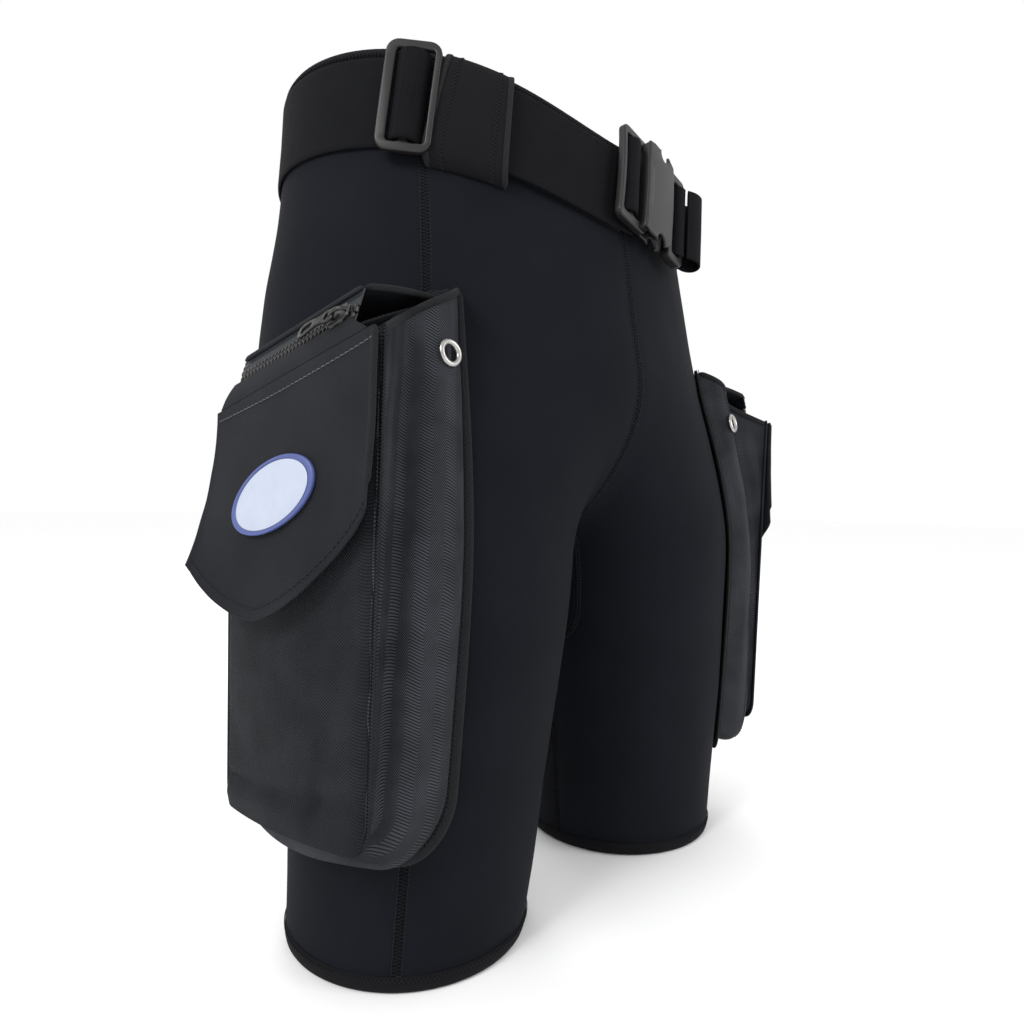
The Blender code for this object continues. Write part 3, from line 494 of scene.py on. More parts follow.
def tape_along(name, path, normals, width, thick, body, finish_name="edging", *nodes):
    """Soft rounded tape folded over an edge that runs along path, narrower at its two ends."""
    length = distances(path)
    to_end = np.minimum(length, length[-1] - length)
    grown = np.clip(0.35 + to_end / (4 * MM), 0.0, 1.0)[:, None]
    side = side_of(path, normals)
    sections = []
    for turn in np.linspace(0, 2 * math.pi, 12, endpoint=False):
        c, s = math.cos(turn), math.sin(turn)
        wide = math.copysign(abs(c) ** 0.7, c) * width / 2
        high = math.copysign(abs(s) ** 0.7, s) * thick / 2
        sections.append(path + (side * wide + normals * high) * grown)
    sections = np.stack(sections, axis=1)
    piece = sweep_piece(name, sections)
    return settle(piece, finish_name, body, *nodes)


def plate_mesh(outline, holes, low, high, bevel, cuts=0):
    """Rounded flat plate with through holes, in its own u, w and d."""
    curve = bpy.data.curves.new("plate", "CURVE")
    curve.dimensions = "2D"
    curve.fill_mode = "BOTH"
    curve.extrude = (high - low) / 2 - bevel
    curve.bevel_depth = bevel
    curve.bevel_resolution = 3
    curve.offset = -bevel
    for loop in [outline] + holes:
        spline = curve.splines.new("POLY")
        spline.points.add(len(loop) - 1)
        flat = np.array([(u, w, 0, 1) for u, w in loop], dtype=float)
        spline.points.foreach_set("co", flat.ravel())
        spline.use_cyclic_u = True
    source = bpy.data.objects.new("plate", curve)
    mesh = bpy.data.meshes.new_from_object(source)
    bpy.data.objects.remove(source)
    bpy.data.curves.remove(curve)
    work = bmesh.new()
    work.from_mesh(mesh)
    bmesh.ops.remove_doubles(work, verts=work.verts, dist=0.01 * MM)
    size = max(abs(w) for _, w in outline)
    for level in np.linspace(-size, size, cuts + 2)[1:-1]:
        bmesh.ops.bisect_plane(work, geom=work.verts[:] + work.edges[:] + work.faces[:],
                               plane_co=(0, level, 0), plane_no=(0, 1, 0))
    bmesh.ops.translate(work, verts=work.verts, vec=(0, 0, (high + low) / 2))
    work.to_mesh(mesh)
    work.free()
    return mesh


def plate_piece(name, mesh, place, bend=lambda u, w, d: d):
    """A plate's mesh put where place(u, w, d) says, its depth changed by bend."""
    for vertex in mesh.vertices:
        u, w, d = vertex.co
        vertex.co = Vector(place(u, w, bend(u, w, d)))
    work = bmesh.new()
    work.from_mesh(mesh)
    bmesh.ops.recalc_face_normals(work, faces=work.faces)
    work.to_mesh(mesh)
    work.free()
    mesh.shade_smooth()
    mesh.set_sharp_from_angle(angle=math.radians(32))
    made = bpy.data.objects.new(name, mesh)
    bpy.context.scene.collection.objects.link(made)
    return made


def rectangle(u0, u1, w0, w1, radius, steps=6):
    """Corners of a rectangle, rounded by arcs."""
    points = []
    for cu, cw, start in ((u0, w0, 180), (u1, w0, 270), (u1, w1, 0), (u0, w1, 90)):
        centre_u = cu + (radius if cu == u0 else -radius)
        centre_w = cw + (radius if cw == w0 else -radius)
        for i in range(steps + 1):
            turn = math.radians(start + 90 * i / steps)
            points.append((centre_u + radius * math.cos(turn), centre_w + radius * math.sin(turn)))
    return points


# ---- the body that the shorts follow --------------------------------------------------------
def station(table, z):
    """Smooth values of a table's columns at heights z."""
    heights, values = table[:, 0], table[:, 1:]
    slopes = np.gradient(values, heights, axis=0)
    z = np.clip(np.asarray(z, float), heights[0], heights[-1])
    k = np.clip(np.searchsorted(heights, z) - 1, 0, len(heights) - 2)
    step = heights[k + 1] - heights[k]
    t = (z - heights[k]) / step
    return [(2 * t**3 - 3 * t**2 + 1) * v[k] + (t**3 - 2 * t**2 + t) * m[k] * step
            + (3 * t**2 - 2 * t**3) * v[k + 1] + (t**3 - t**2) * m[k + 1] * step
            for v, m in zip(values.T, slopes.T)]


def body_field(x, y, z):
    """Negative inside the body, zero on the shell's outer surface."""
    centre, radius, leg_y = station(LEG, z)
    right = np.hypot(x + centre, y - leg_y) - radius
    left = np.hypot(x - centre, y - leg_y) - radius
    mix = np.clip(0.5 + 0.5 * (left - right) / CROTCH_BLEND, 0, 1)
    both = left * (1 - mix) + right * mix - CROTCH_BLEND * mix * (1 - mix)
    wide, deep, torso_y = station(TORSO, z)
    torso = (np.hypot(x / wide, (y - torso_y) / deep) - 1) * deep
    rise = np.clip((np.asarray(z) - LEGS_END) / (HIPS_START - LEGS_END), 0, 1)
    share = rise * rise * (3 - 2 * rise)
    return both * (1 - share) + torso * share


def cast(x, y, angle, z):
    """Distance to the surface from a point inside, in the direction of an angle."""
    dx, dy = -np.sin(angle), -np.cos(angle)
    steps = np.linspace(0.03, 0.3, 60).reshape((-1,) + (1,) * np.ndim(angle))
    values = body_field(x + steps * dx, y + steps * dy, z + 0 * steps)
    high = steps.ravel()[np.argmax(values > 0, axis=0)]
    low = high - (steps.ravel()[1] - steps.ravel()[0])
    for _ in range(20):
        middle = (low + high) / 2
        inside = body_field(x + middle * dx, y + middle * dy, z) < 0
        low = np.where(inside, middle, low)
        high = np.where(inside, high, middle)
    return (low + high) / 2


def outward(points):
    """Unit normals of the body surface."""
    step = 0.5 * MM
    x, y, z = points[..., 0], points[..., 1], points[..., 2]
    slope = np.stack([
        body_field(x + step, y, z) - body_field(x - step, y, z),
        body_field(x, y + step, z) - body_field(x, y - step, z),
        body_field(x, y, z + step) - body_field(x, y, z - step)], axis=-1)
    return slope / np.linalg.norm(slope, axis=-1, keepdims=True)


def leg_point(side, angle, z, offset=0.0):
    """Surface point at an angle around a leg axis; offset along the surface normal."""
    angle, z = np.broadcast_arrays(np.asarray(angle, float), np.asarray(z, float))
    centre, _, leg_y = station(LEG, z)
    reach = cast(-centre, leg_y, angle, z)
    points = np.stack([-centre - reach * np.sin(angle), leg_y - reach * np.cos(angle), z], axis=-1)
    points = points + outward(points) * offset
    points[..., 0] *= -side
    return points


def rim(angle):
    """Height of the waist rim at an angle around the waist."""
    front = np.clip(np.cos(angle), 0, 1) ** 3
    back = np.clip(-np.cos(angle), 0, 1) ** 2
    return HEIGHT - FRONT_DIP * front - BACK_DIP * back


def waist_point(angle, below, offset=0.0):
    """Point at an angle around the waist, some way below the rim."""
    angle = np.asarray(angle, float)
    z = rim(angle) - below
    _, _, torso_y = station(TORSO, z)
    reach = cast(0.0, torso_y, angle, z) + offset
    return np.stack([-reach * np.sin(angle), torso_y - reach * np.cos(angle), z], axis=-1)


def centre_edge(z, direction):
    """Where the surface crosses x = 0, in front (-1) or behind (1)."""
    z = np.asarray(z, float)
    _, _, leg_y = station(LEG, z)
    low, high = 0 * z, 0 * z + 0.2
    for _ in range(40):
        middle = (low + high) / 2
        inside = body_field(0.0, leg_y + direction * middle, z) < 0
        low = np.where(inside, middle, low)
        high = np.where(inside, high, middle)
    return leg_y + direction * low


def find_crotch():
    low, high = 0.1, 0.3
    for _ in range(40):
        middle = (low + high) / 2
        _, _, leg_y = station(LEG, middle)
        if body_field(0.0, leg_y, middle) < 0:
            high = middle
        else:
            low = middle
    return high


CROTCH = find_crotch()


# ---- the neoprene shell ---------------------------------------------------------------------
def shell_rows():
    below = np.linspace(BIND_HEM * 0.6, CROTCH - 0.6 * MM, 22)
    rise = np.linspace(0.03, 1, 56) ** 1.7
    above = CROTCH + (HEIGHT - BIND_WAIST * 0.6 - CROTCH) * rise
    return below, above


def shell_panel(name, side, front):
    """One panel, from the inseam and centre seam to the front-side seam."""
    below, above = shell_rows()
    columns = 36 if front else 60
    rows = []
    for z in list(below) + list(above):
        start, stop = (-math.pi / 2, SEAM_ANGLE) if front else (SEAM_ANGLE, 1.5 * math.pi)
        heights = np.full(columns, z)
        if z > CROTCH:
            centre, _, leg_y = station(LEG, z)
            ahead = centre_edge(z, -1 if front else 1) - leg_y
            turn = math.atan2(-float(centre), -float(ahead))
            start, stop = (turn, stop) if front else (start, turn + 2 * math.pi)
        angles = np.linspace(start, stop, columns)
        if z > CROTCH:
            flat = leg_point(-1, angles, heights)
            _, _, torso_y = station(TORSO, z)
            around = np.arctan2(-flat[:, 0], -(flat[:, 1] - torso_y))
            heights = z + (rim(around) - HEIGHT) * ((z - CROTCH) / (above[-1] - CROTCH)) ** 2
        row = leg_point(-1, angles, heights)
        if z > CROTCH:
            edge = 0 if front else -1
            row[edge] = (0.0, centre_edge(heights[edge], -1 if front else 1), heights[edge])
        rows.append(row)
    outer = np.array(rows)
    normal = outward(outer)
    inner = outer - normal * SHELL
    share = np.linspace(0, 1, columns)
    from_edge = np.minimum(share, 1 - share) * 0.25
    sink = -0.9 * MM * np.exp(-(from_edge / (3.5 * MM)) ** 2)
    fade = np.clip(from_edge / (12 * MM), 0, 1)
    outer = ripple(outer, normal, 70 * MM, 1.1 * MM, 3.0 if side < 0 else 9.0, fade)
    outer = ripple(outer, normal, 24 * MM, 0.35 * MM, 5.0, fade)
    outer = outer + normal * sink[:, None]
    for grid in (outer, inner):
        grid[..., 0] = np.minimum(grid[..., 0], 0.0)
        grid[len(below):, 0 if front else -1, 0] = 0.0
        grid[..., 0] *= -side
    piece = settle(sheet_piece(name + "_cloth", outer, inner), "neoprene", ROOT, name)
    return piece


def binding_section(height, out=BIND, bulge=0.5 * MM):
    """Rounded band that caps an edge: (offset from the shell, distance from the edge)."""
    back = -SHELL - BIND
    soft = 1.8 * MM
    section = [(out * 0.3, height), (out, height - 0.8 * MM), (out + bulge, height * 0.5)]
    middle = (out + back) / 2
    reach = (out - back) / 2
    for turn in np.linspace(0.1, math.pi - 0.1, 7):
        section.append((middle + reach * math.cos(turn), soft * (1 - math.sin(turn))))
    return section + [(back, height * 0.5), (back + 0.3 * MM, height)]


def waist_binding():
    angles = np.linspace(0, 2 * math.pi, 220, endpoint=False)
    rings = [waist_point(angles, h, d) for d, h in binding_section(BIND_WAIST)]
    piece = sweep_piece("waist_hem", np.stack(rings, axis=1), closed=True)
    settle(piece, "binding", ROOT, "waist_binding")
    closed = np.append(angles, 2 * math.pi)
    path = waist_point(closed, BIND_WAIST - 1.3 * MM, BIND + 0.35 * MM)
    out = np.stack([-np.sin(closed), -np.cos(closed), 0 * closed], axis=-1)
    lines = zigzag_stitch(path, out, 1.8 * MM, 2.2 * MM)
    threads("waist_stitching", lines, THREAD, "thread", ROOT)


def hem_binding(name, side):
    angles = np.linspace(0, 2 * math.pi, 150, endpoint=False)
    out = np.stack([side * np.sin(angles), -np.cos(angles), 0 * angles], axis=-1)
    rings = []
    for offset, height in binding_section(BIND_HEM):
        rings.append(leg_point(side, angles, np.full(len(angles), max(height, 0.0))) + out * offset)
    piece = sweep_piece(name + "_fold", np.stack(rings, axis=1), closed=True)
    settle(piece, "binding", ROOT, name)
    closed = np.append(angles, 2 * math.pi)
    out = np.stack([side * np.sin(closed), -np.cos(closed), 0 * closed], axis=-1)
    path = leg_point(side, closed, np.full(len(closed), BIND_HEM - 1.6 * MM)) + out * (BIND + 0.3 * MM)
    lines = zigzag_stitch(path, out, 1.8 * MM, 2.2 * MM)
    threads(name + "_stitching", lines, THREAD, "thread", ROOT)


def crotch_gusset():
    """Oval patch on the inside of the thighs, over the meeting seams."""
    half_long, half_deep, below = 62 * MM, 30 * MM, 70 * MM
    low = CROTCH - below
    _, _, leg_y = station(LEG, CROTCH)
    share, row = np.meshgrid(np.linspace(-1, 1, 41), np.linspace(-1, 1, 21))
    width = half_deep * np.sqrt(np.maximum(1 - np.abs(share) ** 2.4, 0.02))
    turn = share * half_long / below * 1.15
    start = np.stack([0 * share, float(leg_y) + row * width, 0 * share + low], axis=-1)
    direction = np.stack([np.sin(turn), 0 * turn, np.cos(turn)], axis=-1)
    near, far = 0 * share, 0 * share + 0.13
    for _ in range(30):
        middle = (near + far) / 2
        point = start + direction * middle[..., None]
        outside = body_field(point[..., 0], point[..., 1], point[..., 2]) > 0
        near = np.where(outside, middle, near)
        far = np.where(outside, far, middle)
    surface = start + direction * near[..., None]
    normal = outward(surface)
    piece = sheet_piece("crotch_gusset_cloth", surface + normal * 2.6 * MM,
                        surface + normal * 0.4 * MM)
    settle(piece, "neoprene", ROOT, "crotch_gusset")
    lines = []
    for edge in (0, -1):
        lines += flatlock(surface[edge, 1:-1] + normal[edge, 1:-1] * 2.6 * MM, normal[edge, 1:-1],
                          4.5 * MM)
    threads("crotch_stitching", lines, THREAD, "thread", ROOT)


def shell_seams():
    """Flatlock seams: both front sides, both inseams, centre front and centre back."""
    lines = []
    for side in (-1, 1):
        z = np.linspace(BIND_HEM, HEIGHT - BIND_WAIST - 16 * MM, 240)
        path = leg_point(side, np.full(len(z), SEAM_ANGLE), z)
        lines += flatlock(path - outward(path) * 0.5 * MM, outward(path))
        z = np.linspace(BIND_HEM, CROTCH - 12 * MM, 90)
        path = leg_point(side, np.full(len(z), -math.pi / 2), z)
        lines += flatlock(path - outward(path) * 0.5 * MM, outward(path))
    for direction in (-1, 1):
        rise = np.linspace(0, 1, 160) ** 1.5
        top = HEIGHT - (FRONT_DIP if direction < 0 else BACK_DIP) - BIND_WAIST
        z = CROTCH + 1.5 * MM + (top - CROTCH - 1.5 * MM) * rise
        path = np.stack([0 * z, centre_edge(z, direction), z], axis=-1)
        lines += flatlock(path - outward(path) * 0.5 * MM, outward(path))
    threads("shell_seams", lines, THREAD, "thread", ROOT)


# ---- the belt -------------------------------------------------------------------------------
def strap_section(thickness, edge=0.5 * MM):
    """Webbing's section: (distance across, height), with soft rolled edges."""
    top = [(edge, thickness * 0.85), (2.5 * MM, thickness), (WEBBING * 0.5, thickness * 0.94),
           (WEBBING - 2.5 * MM, thickness), (WEBBING - edge, thickness * 0.85)]
    under = [(WEBBING, thickness * 0.5), (WEBBING - edge, 0.1 * MM), (WEBBING * 0.5, 0.0),
             (edge, 0.1 * MM), (0.0, thickness * 0.5)]
    return top + under


def belt_band(node, start, stop, offset, thickness=WEB):
    angles = np.linspace(start, stop, max(8, round(abs(stop - start) / math.radians(1.2))))
    rings = [waist_point(angles, WEB_TOP + below, offset + height)
             for below, height in strap_section(thickness)]
    piece = sweep_piece(node + "_weave", np.stack(rings, axis=1))
    return settle(piece, "webbing", ROOT, node)


def keeper(node, angle):
    """Neoprene loop with taped and zigzag-stitched edges."""
    half = 16 * MM / (130 * MM)
    inside = LAYER_2 + WEB + 0.9 * MM
    out = inside + 2.6 * MM
    low = WEB_TOP + WEBBING
    control = np.array([(1.9, 1.2, 0), (4.4, 1.0, 0), (out / MM, 5.0, 0), (out / MM + 0.4, 20, 0),
                        (out / MM + 0.6, 34, 0), (out / MM, low / MM - 4, 0),
                        (out / MM - 2.0, low / MM + 3, 0), (3.0, low / MM + 7, 0),
                        (1.4, low / MM + 8, 0)]) * MM
    line = spline_through(control, 40)
    outer = []
    inner = []
    for d, h, _ in line:
        low_share = min(h / low, 1.0)
        flare = np.linspace(0.035, 0.085, 18) * low_share
        if angle < 0:
            flare = -flare[::-1]
        turns = np.linspace(angle - half, angle + half, 18) + flare
        outer.append(waist_point(turns, np.full(len(turns), h), d))
        inner.append(waist_point(turns, np.full(len(turns), h), max(d - 2.2 * MM, 0.2 * MM)))
    outer = np.stack(outer)
    inner = np.stack(inner)
    piece = settle(sheet_piece(node + "_loop", outer, inner), "binding", ROOT, node)
    lines = []
    for column, word in ((0, "front"), (-1, "back")):
        path = (outer[:, column] * 0.75 + inner[:, column] * 0.25)
        normals = outer[:, column] - inner[:, column]
        normals /= np.linalg.norm(normals, axis=1, keepdims=True)
        tape_along(node + "_tape_" + word, path, normals, 3.4 * MM, 3.4 * MM, ROOT)
        near = 3 if column == 0 else -4
        lines += zigzag_stitch(outer[:, near], normals, 1.8 * MM, 2.2 * MM)
    threads(node + "_stitching", lines, THREAD, "thread", ROOT)
    return piece


def belt_place(angle, tilt=0.0):
    """Frame on the belt: u along it to the wearer's left, w up, d out of the body."""
    mid = WEB_TOP + WEBBING / 2
    step = 0.02
    origin = waist_point(angle, mid)
    u = waist_point(angle - step, mid) - waist_point(angle + step, mid)
    w = waist_point(angle, mid - 10 * MM) - waist_point(angle, mid + 10 * MM)
    u /= np.linalg.norm(u)
    d = np.cross(u, w)
    d /= np.linalg.norm(d)
    w = np.cross(d, u)
    u, w = u * math.cos(tilt) - w * math.sin(tilt), w * math.cos(tilt) + u * math.sin(tilt)

    def place(along, up, out):
        return origin + u * along + w * up + d * out

    return place


def strap_over(name, place, control, body, node, count=48):
    """A length of webbing that follows control points (u, d)."""
    line = spline_through(np.array([(u, d, 0) for u, d in control]) * MM, count)[:, :2]
    slope = np.gradient(line, axis=0)
    slope /= np.linalg.norm(slope, axis=1, keepdims=True)
    side = np.stack([-slope[:, 1], slope[:, 0]], axis=1)
    sections = []
    for (u, d), (nu, nd) in zip(line, side):
        section = []
        for across, height in strap_section(WEB):
            lift = height - WEB / 2
            section.append(place(u + nu * lift, across - WEBBING / 2, d + nd * lift))
        sections.append(section)
    return settle(sweep_piece(name, sections), "webbing", body, node)


def triglide():
    place = belt_place(TRIGLIDE_AT)
    low, high = HARDWARE - 0.1 * MM, HARDWARE + 3.6 * MM
    mesh = plate_mesh(rectangle(-15 * MM, 15 * MM, -30.5 * MM, 30.5 * MM, 7 * MM),
                      [rectangle(-9.4 * MM, -2.4 * MM, -25.6 * MM, 25.6 * MM, 2 * MM),
                       rectangle(2.4 * MM, 11.4 * MM, -25.6 * MM, 25.6 * MM, 2 * MM)],
                      low, high, 0.9 * MM, 12)
    piece = plate_piece("triglide_frame", mesh, place,
                        lambda u, w, d: d + 0.9 * MM * (1 - (w / (31 * MM)) ** 2))
    settle(piece, "acetal", "triglide", "triglide")
    top = high / MM + 1.9
    control = [(-8.5, low / MM + 0.4), (-7.0, low / MM + 2.6), (-4.4, top), (0, top + 0.5),
               (4.4, top), (7.0, low / MM + 2.6), (8.4, low / MM + 0.4)]
    strap_over("triglide_strap", place, control, "triglide", "triglide_webbing")
    lines = []
    for across in (-9, -6, -3, 0, 3, 6, 9):
        lines.append([place((across * 0.36) * MM, w, (top + 1.1 - abs(across) * 0.035) * MM)
                      for w in np.linspace(-24.4 * MM, 24.4 * MM, 24)])
    threads("triglide_strap_ridges", lines, 0.22 * MM, "webbing", "triglide")


def buckle_female(place):
    low = HARDWARE

    def crown(u, w, d):
        return d + 1.2 * MM * (1 - (w / (31 * MM)) ** 2) - 0.8 * MM * (u / (36 * MM)) ** 2

    bars = plate_mesh(rectangle(-36 * MM, -8 * MM, -31 * MM, 31 * MM, 4.5 * MM),
                      [rectangle(-32.4 * MM, -26 * MM, -25.6 * MM, 25.6 * MM, 1.6 * MM),
                       rectangle(-22 * MM, -13.4 * MM, -25.6 * MM, 25.6 * MM, 1.6 * MM)],
                      low, low + 4.8 * MM, 1.1 * MM, 12)
    piece = plate_piece("buckle_frame", bars, place, crown)
    settle(piece, "acetal", ROOT, "buckle_female")
    notch = []
    for turn in np.linspace(math.radians(200), math.radians(-15), 10):
        notch.append((3.2 * MM + 4.6 * MM * math.cos(turn), -30.4 * MM + 4.8 * MM * math.sin(turn)))
    lower = [(-14.5 * MM, -29.5 * MM), (-9 * MM, -31 * MM), (-3.0 * MM, -31 * MM)] + notch
    lower += [(10 * MM, -30.4 * MM), (14.4 * MM, -28.2 * MM), (15.4 * MM, -24 * MM)]
    waist = [(-14.5 * MM, w) for w in np.linspace(-20, 20, 5) * MM]
    bulge = [(15.4 * MM + 1.0 * MM * math.cos(math.pi / 2 * w / (24 * MM)), w)
             for w in np.linspace(-18, 18, 7) * MM]
    outline = lower + bulge + [(u, -w) for u, w in reversed(lower)] + list(reversed(waist))
    lid = plate_mesh(outline, [], low + 7.4 * MM, low + 9.9 * MM, 1.0 * MM)
    floor = plate_mesh(outline, [], low + 0.3 * MM, low + 2.3 * MM, 0.8 * MM)
    settle(plate_piece("buckle_lid", lid, place), "acetal", ROOT)
    settle(plate_piece("buckle_floor", floor, place), "acetal", ROOT)
    wall = plate_mesh(rectangle(-15 * MM, -8.4 * MM, -29.6 * MM, 29.6 * MM, 2 * MM), [],
                      low + 0.3 * MM, low + 9.0 * MM, 1.2 * MM, 12)
    settle(plate_piece("buckle_wall", wall, place, crown), "acetal", ROOT)
    lines = []
    for up in np.arange(-22, 22.1, 1.6):
        lines.append([place(u * MM, up * MM, low + h * MM)
                      for u, h in ((-25.4, 5.4), (-24.6, 6.1), (-23.2, 6.1), (-22.4, 5.4))])
    threads("buckle_grip_teeth", lines, 0.35 * MM, "acetal", ROOT)
    control = [(-30.6, 1.2), (-29.6, 3.6), (-26.4, 6.6), (-23.6, 6.9), (-19.6, 5.4), (-18.4, 2.2),
               (-18.6, 0.4)]
    strap_over("buckle_strap", place, [(u, d + low / MM) for u, d in control], ROOT,
               "buckle_female_webbing")


def buckle_male(place):
    low = HARDWARE
    body = "buckle_male"
    frame_mesh = plate_mesh(rectangle(17.4 * MM, 36 * MM, -31 * MM, 31 * MM, 4 * MM),
                            [rectangle(22.5 * MM, 30.5 * MM, -25.6 * MM, 25.6 * MM, 1.6 * MM)],
                            low, low + 6.4 * MM, 1.3 * MM, 12)
    settle(plate_piece("buckle_male_frame", frame_mesh, place), "acetal", body, "buckle_male")
    tongue = plate_mesh(rectangle(2 * MM, 19.5 * MM, -5 * MM, 5 * MM, 2 * MM), [],
                        low + 2.7 * MM, low + 6.3 * MM, 0.8 * MM)
    settle(plate_piece("buckle_tongue", tongue, place), "acetal", body)
    for sign, word in ((1, "upper"), (-1, "lower")):
        arm = np.array([(17.0, 12.5), (17.0, 17.5), (11.0, 18.0), (9.0, 18.8), (8.0, 21.0),
                        (7.2, 24.6), (4.5, 26.0), (1.0, 26.0), (-2.0, 22.5), (-4.2, 18.6),
                        (-5.0, 15.5), (-3.6, 13.2), (-1.5, 13.0)]) * MM
        mesh = plate_mesh([(u, sign * w) for u, w in arm], [], low + 2.7 * MM, low + 6.3 * MM,
                          0.7 * MM)
        settle(plate_piece("buckle_arm_" + word, mesh, place), "acetal", "prong_" + word,
               "buckle_prong_" + word)


def belt_tail(place):
    """Loose webbing of the male half, bowing out as a loop."""
    control = [(33.0, 8.0), (28.2, 7.4), (25.9, 4.2), (27.0, 0.6), (31.0, -0.6), (38.0, -0.6),
               (45.0, -0.4), (50.0, 1.4), (53.0, 5.6), (51.5, 10.4), (46.5, 13.4), (40.0, 12.4),
               (35.4, 9.4)]
    piece = strap_over("belt_tail", place, [(u, d + HARDWARE / MM) for u, d in control],
                       "buckle_male", "belt_tail_loop", 90)


def build_belt():
    buckle = belt_place(BUCKLE_AT, BUCKLE_TILT)
    round_back = 2 * math.pi
    belt_band("belt_webbing_right", math.radians(4), math.radians(179.6), LAYER_1)
    belt_band("belt_webbing_left", math.radians(180.4), round_back + math.radians(-44), LAYER_1)
    belt_band("belt_adjuster_layer", math.radians(-1), TRIGLIDE_AT - math.radians(2), LAYER_2,
              1.8 * MM)
    triglide()
    buckle_female(buckle)
    buckle_male(buckle)
    belt_tail(buckle)
    keeper("keeper_front_right", KEEPER_FRONT_AT)
    keeper("keeper_back_right", KEEPER_BACK_AT)
    keeper("keeper_back_left", -KEEPER_BACK_AT)
    keeper("keeper_front_left", -KEEPER_FRONT_AT - math.radians(14))


# ---- the pockets ----------------------------------------------------------------------------
def pocket_point(side, s, n, z):
    """World point: s to the back along the pocket, n out of it, z up."""
    s, n, z = np.broadcast_arrays(s, n, z)
    turn_s, turn_c = math.sin(POCKET_TURN), math.cos(POCKET_TURN)
    x = POCKET_AXIS[0] - turn_s * s - turn_c * n
    y = POCKET_AXIS[1] + turn_c * s - turn_s * n
    return np.stack([-side * x, y, z - POCKET_DROP[side]], axis=-1)


def pocket_out(side):
    return pocket_point(side, 0.0, 1.0, 0.0) - pocket_point(side, 0.0, 0.0, 0.0)


def u_path(count, corner, turns=14, flat=12):
    """Front side, bottom and back side of a pocket as (across -1..1, up 0..1)."""
    points = [(-1.0, up) for up in np.linspace(1, corner[1], count)]
    for turn in np.linspace(0, math.pi / 2, turns + 1)[1:]:
        points.append((-1 + corner[0] * (1 - math.cos(turn)), corner[1] * (1 - math.sin(turn))))
    points += [(a, 0.0) for a in np.linspace(-1 + corner[0], 0, flat)[1:]]
    mirrored = [(-a, up) for a, up in reversed(points[:-1])]
    return np.array(points + mirrored)


def bottom_at(across, corner):
    """Lowest height share at a place across, for a rounded bottom corner."""
    into = np.clip((np.abs(across) - 1 + corner[0]) / corner[0], 0, 1)
    return corner[1] * (1 - np.sqrt(1 - into * into))


def mouth_drop(s):
    """How much lower the pocket's mouth is at a place s than at its front end."""
    return (s - FACE_S[0]) * math.tan(MOUTH_SLANT)


def base_point(side, across, up, offset):
    across = np.asarray(across, float)
    mid = (BASE_ANGLE[0] + BASE_ANGLE[1]) / 2
    half = (BASE_ANGLE[1] - BASE_ANGLE[0]) / 2
    top = BASE_Z[1] - BASE_BACK_DROP * np.clip((across + 1) / 2, 0, None) ** 1.5
    z = BASE_Z[0] + (top - BASE_Z[0]) * up
    return leg_point(side, mid + half * across, z - POCKET_DROP[side], offset)


def face_depth(across, up):
    """Distance of the face panel from the pocket axis; straight along its top edge."""
    full = np.minimum(1.0, (1 - up) * 3.0)
    return FACE_N + FACE_CROWN * (1 - across**2) * full * (2 - full)


def face_point(side, across, up, offset=0.0):
    s = (FACE_S[0] + FACE_S[1]) / 2 + across * (FACE_S[1] - FACE_S[0]) / 2
    s = s - FACE_LEAN * up * (1 - across) / 2
    z = FACE_Z[0] + (FACE_Z[1] - mouth_drop(s) - FACE_Z[0]) * up
    return pocket_point(side, s, face_depth(across, up) + offset, z)


def panel_grid(corner, columns, rows):
    """Places across and up a panel whose bottom corners are rounded."""
    across, t = np.meshgrid(np.linspace(-1, 1, columns), np.linspace(0, 1, rows))
    low = bottom_at(across, corner)
    return across, low + (1 - low) * t


def pocket_base(side, word):
    across, up = panel_grid(BASE_CORNER, 50, 50)
    outer = base_point(side, across, up, 2.4 * MM)
    inner = base_point(side, across, up, 1.2 * MM)
    piece = sheet_piece("pocket_back_" + word, outer, inner)
    settle(piece, "basket", ROOT, "pocket_base_" + word)
    path = u_path(60, BASE_CORNER)
    points = base_point(side, path[:, 0] * 1.004, path[:, 1] * 1.0, 2.6 * MM)
    normals = outward(points * np.array([-side, 1, 1])) * np.array([-side, 1, 1])
    widths = 5.5 * MM + 5.5 * MM * (1 - path[:, 1]) ** 0.7
    tape_along("pocket_trim_" + word, points, normals, widths[:, None], 2.4 * MM, ROOT)
    lines = zigzag_stitch(points + normals * 1.15 * MM, normals, 1.7 * MM, 2.4 * MM)
    threads("pocket_trim_stitching_" + word, lines, THREAD, "thread", ROOT)


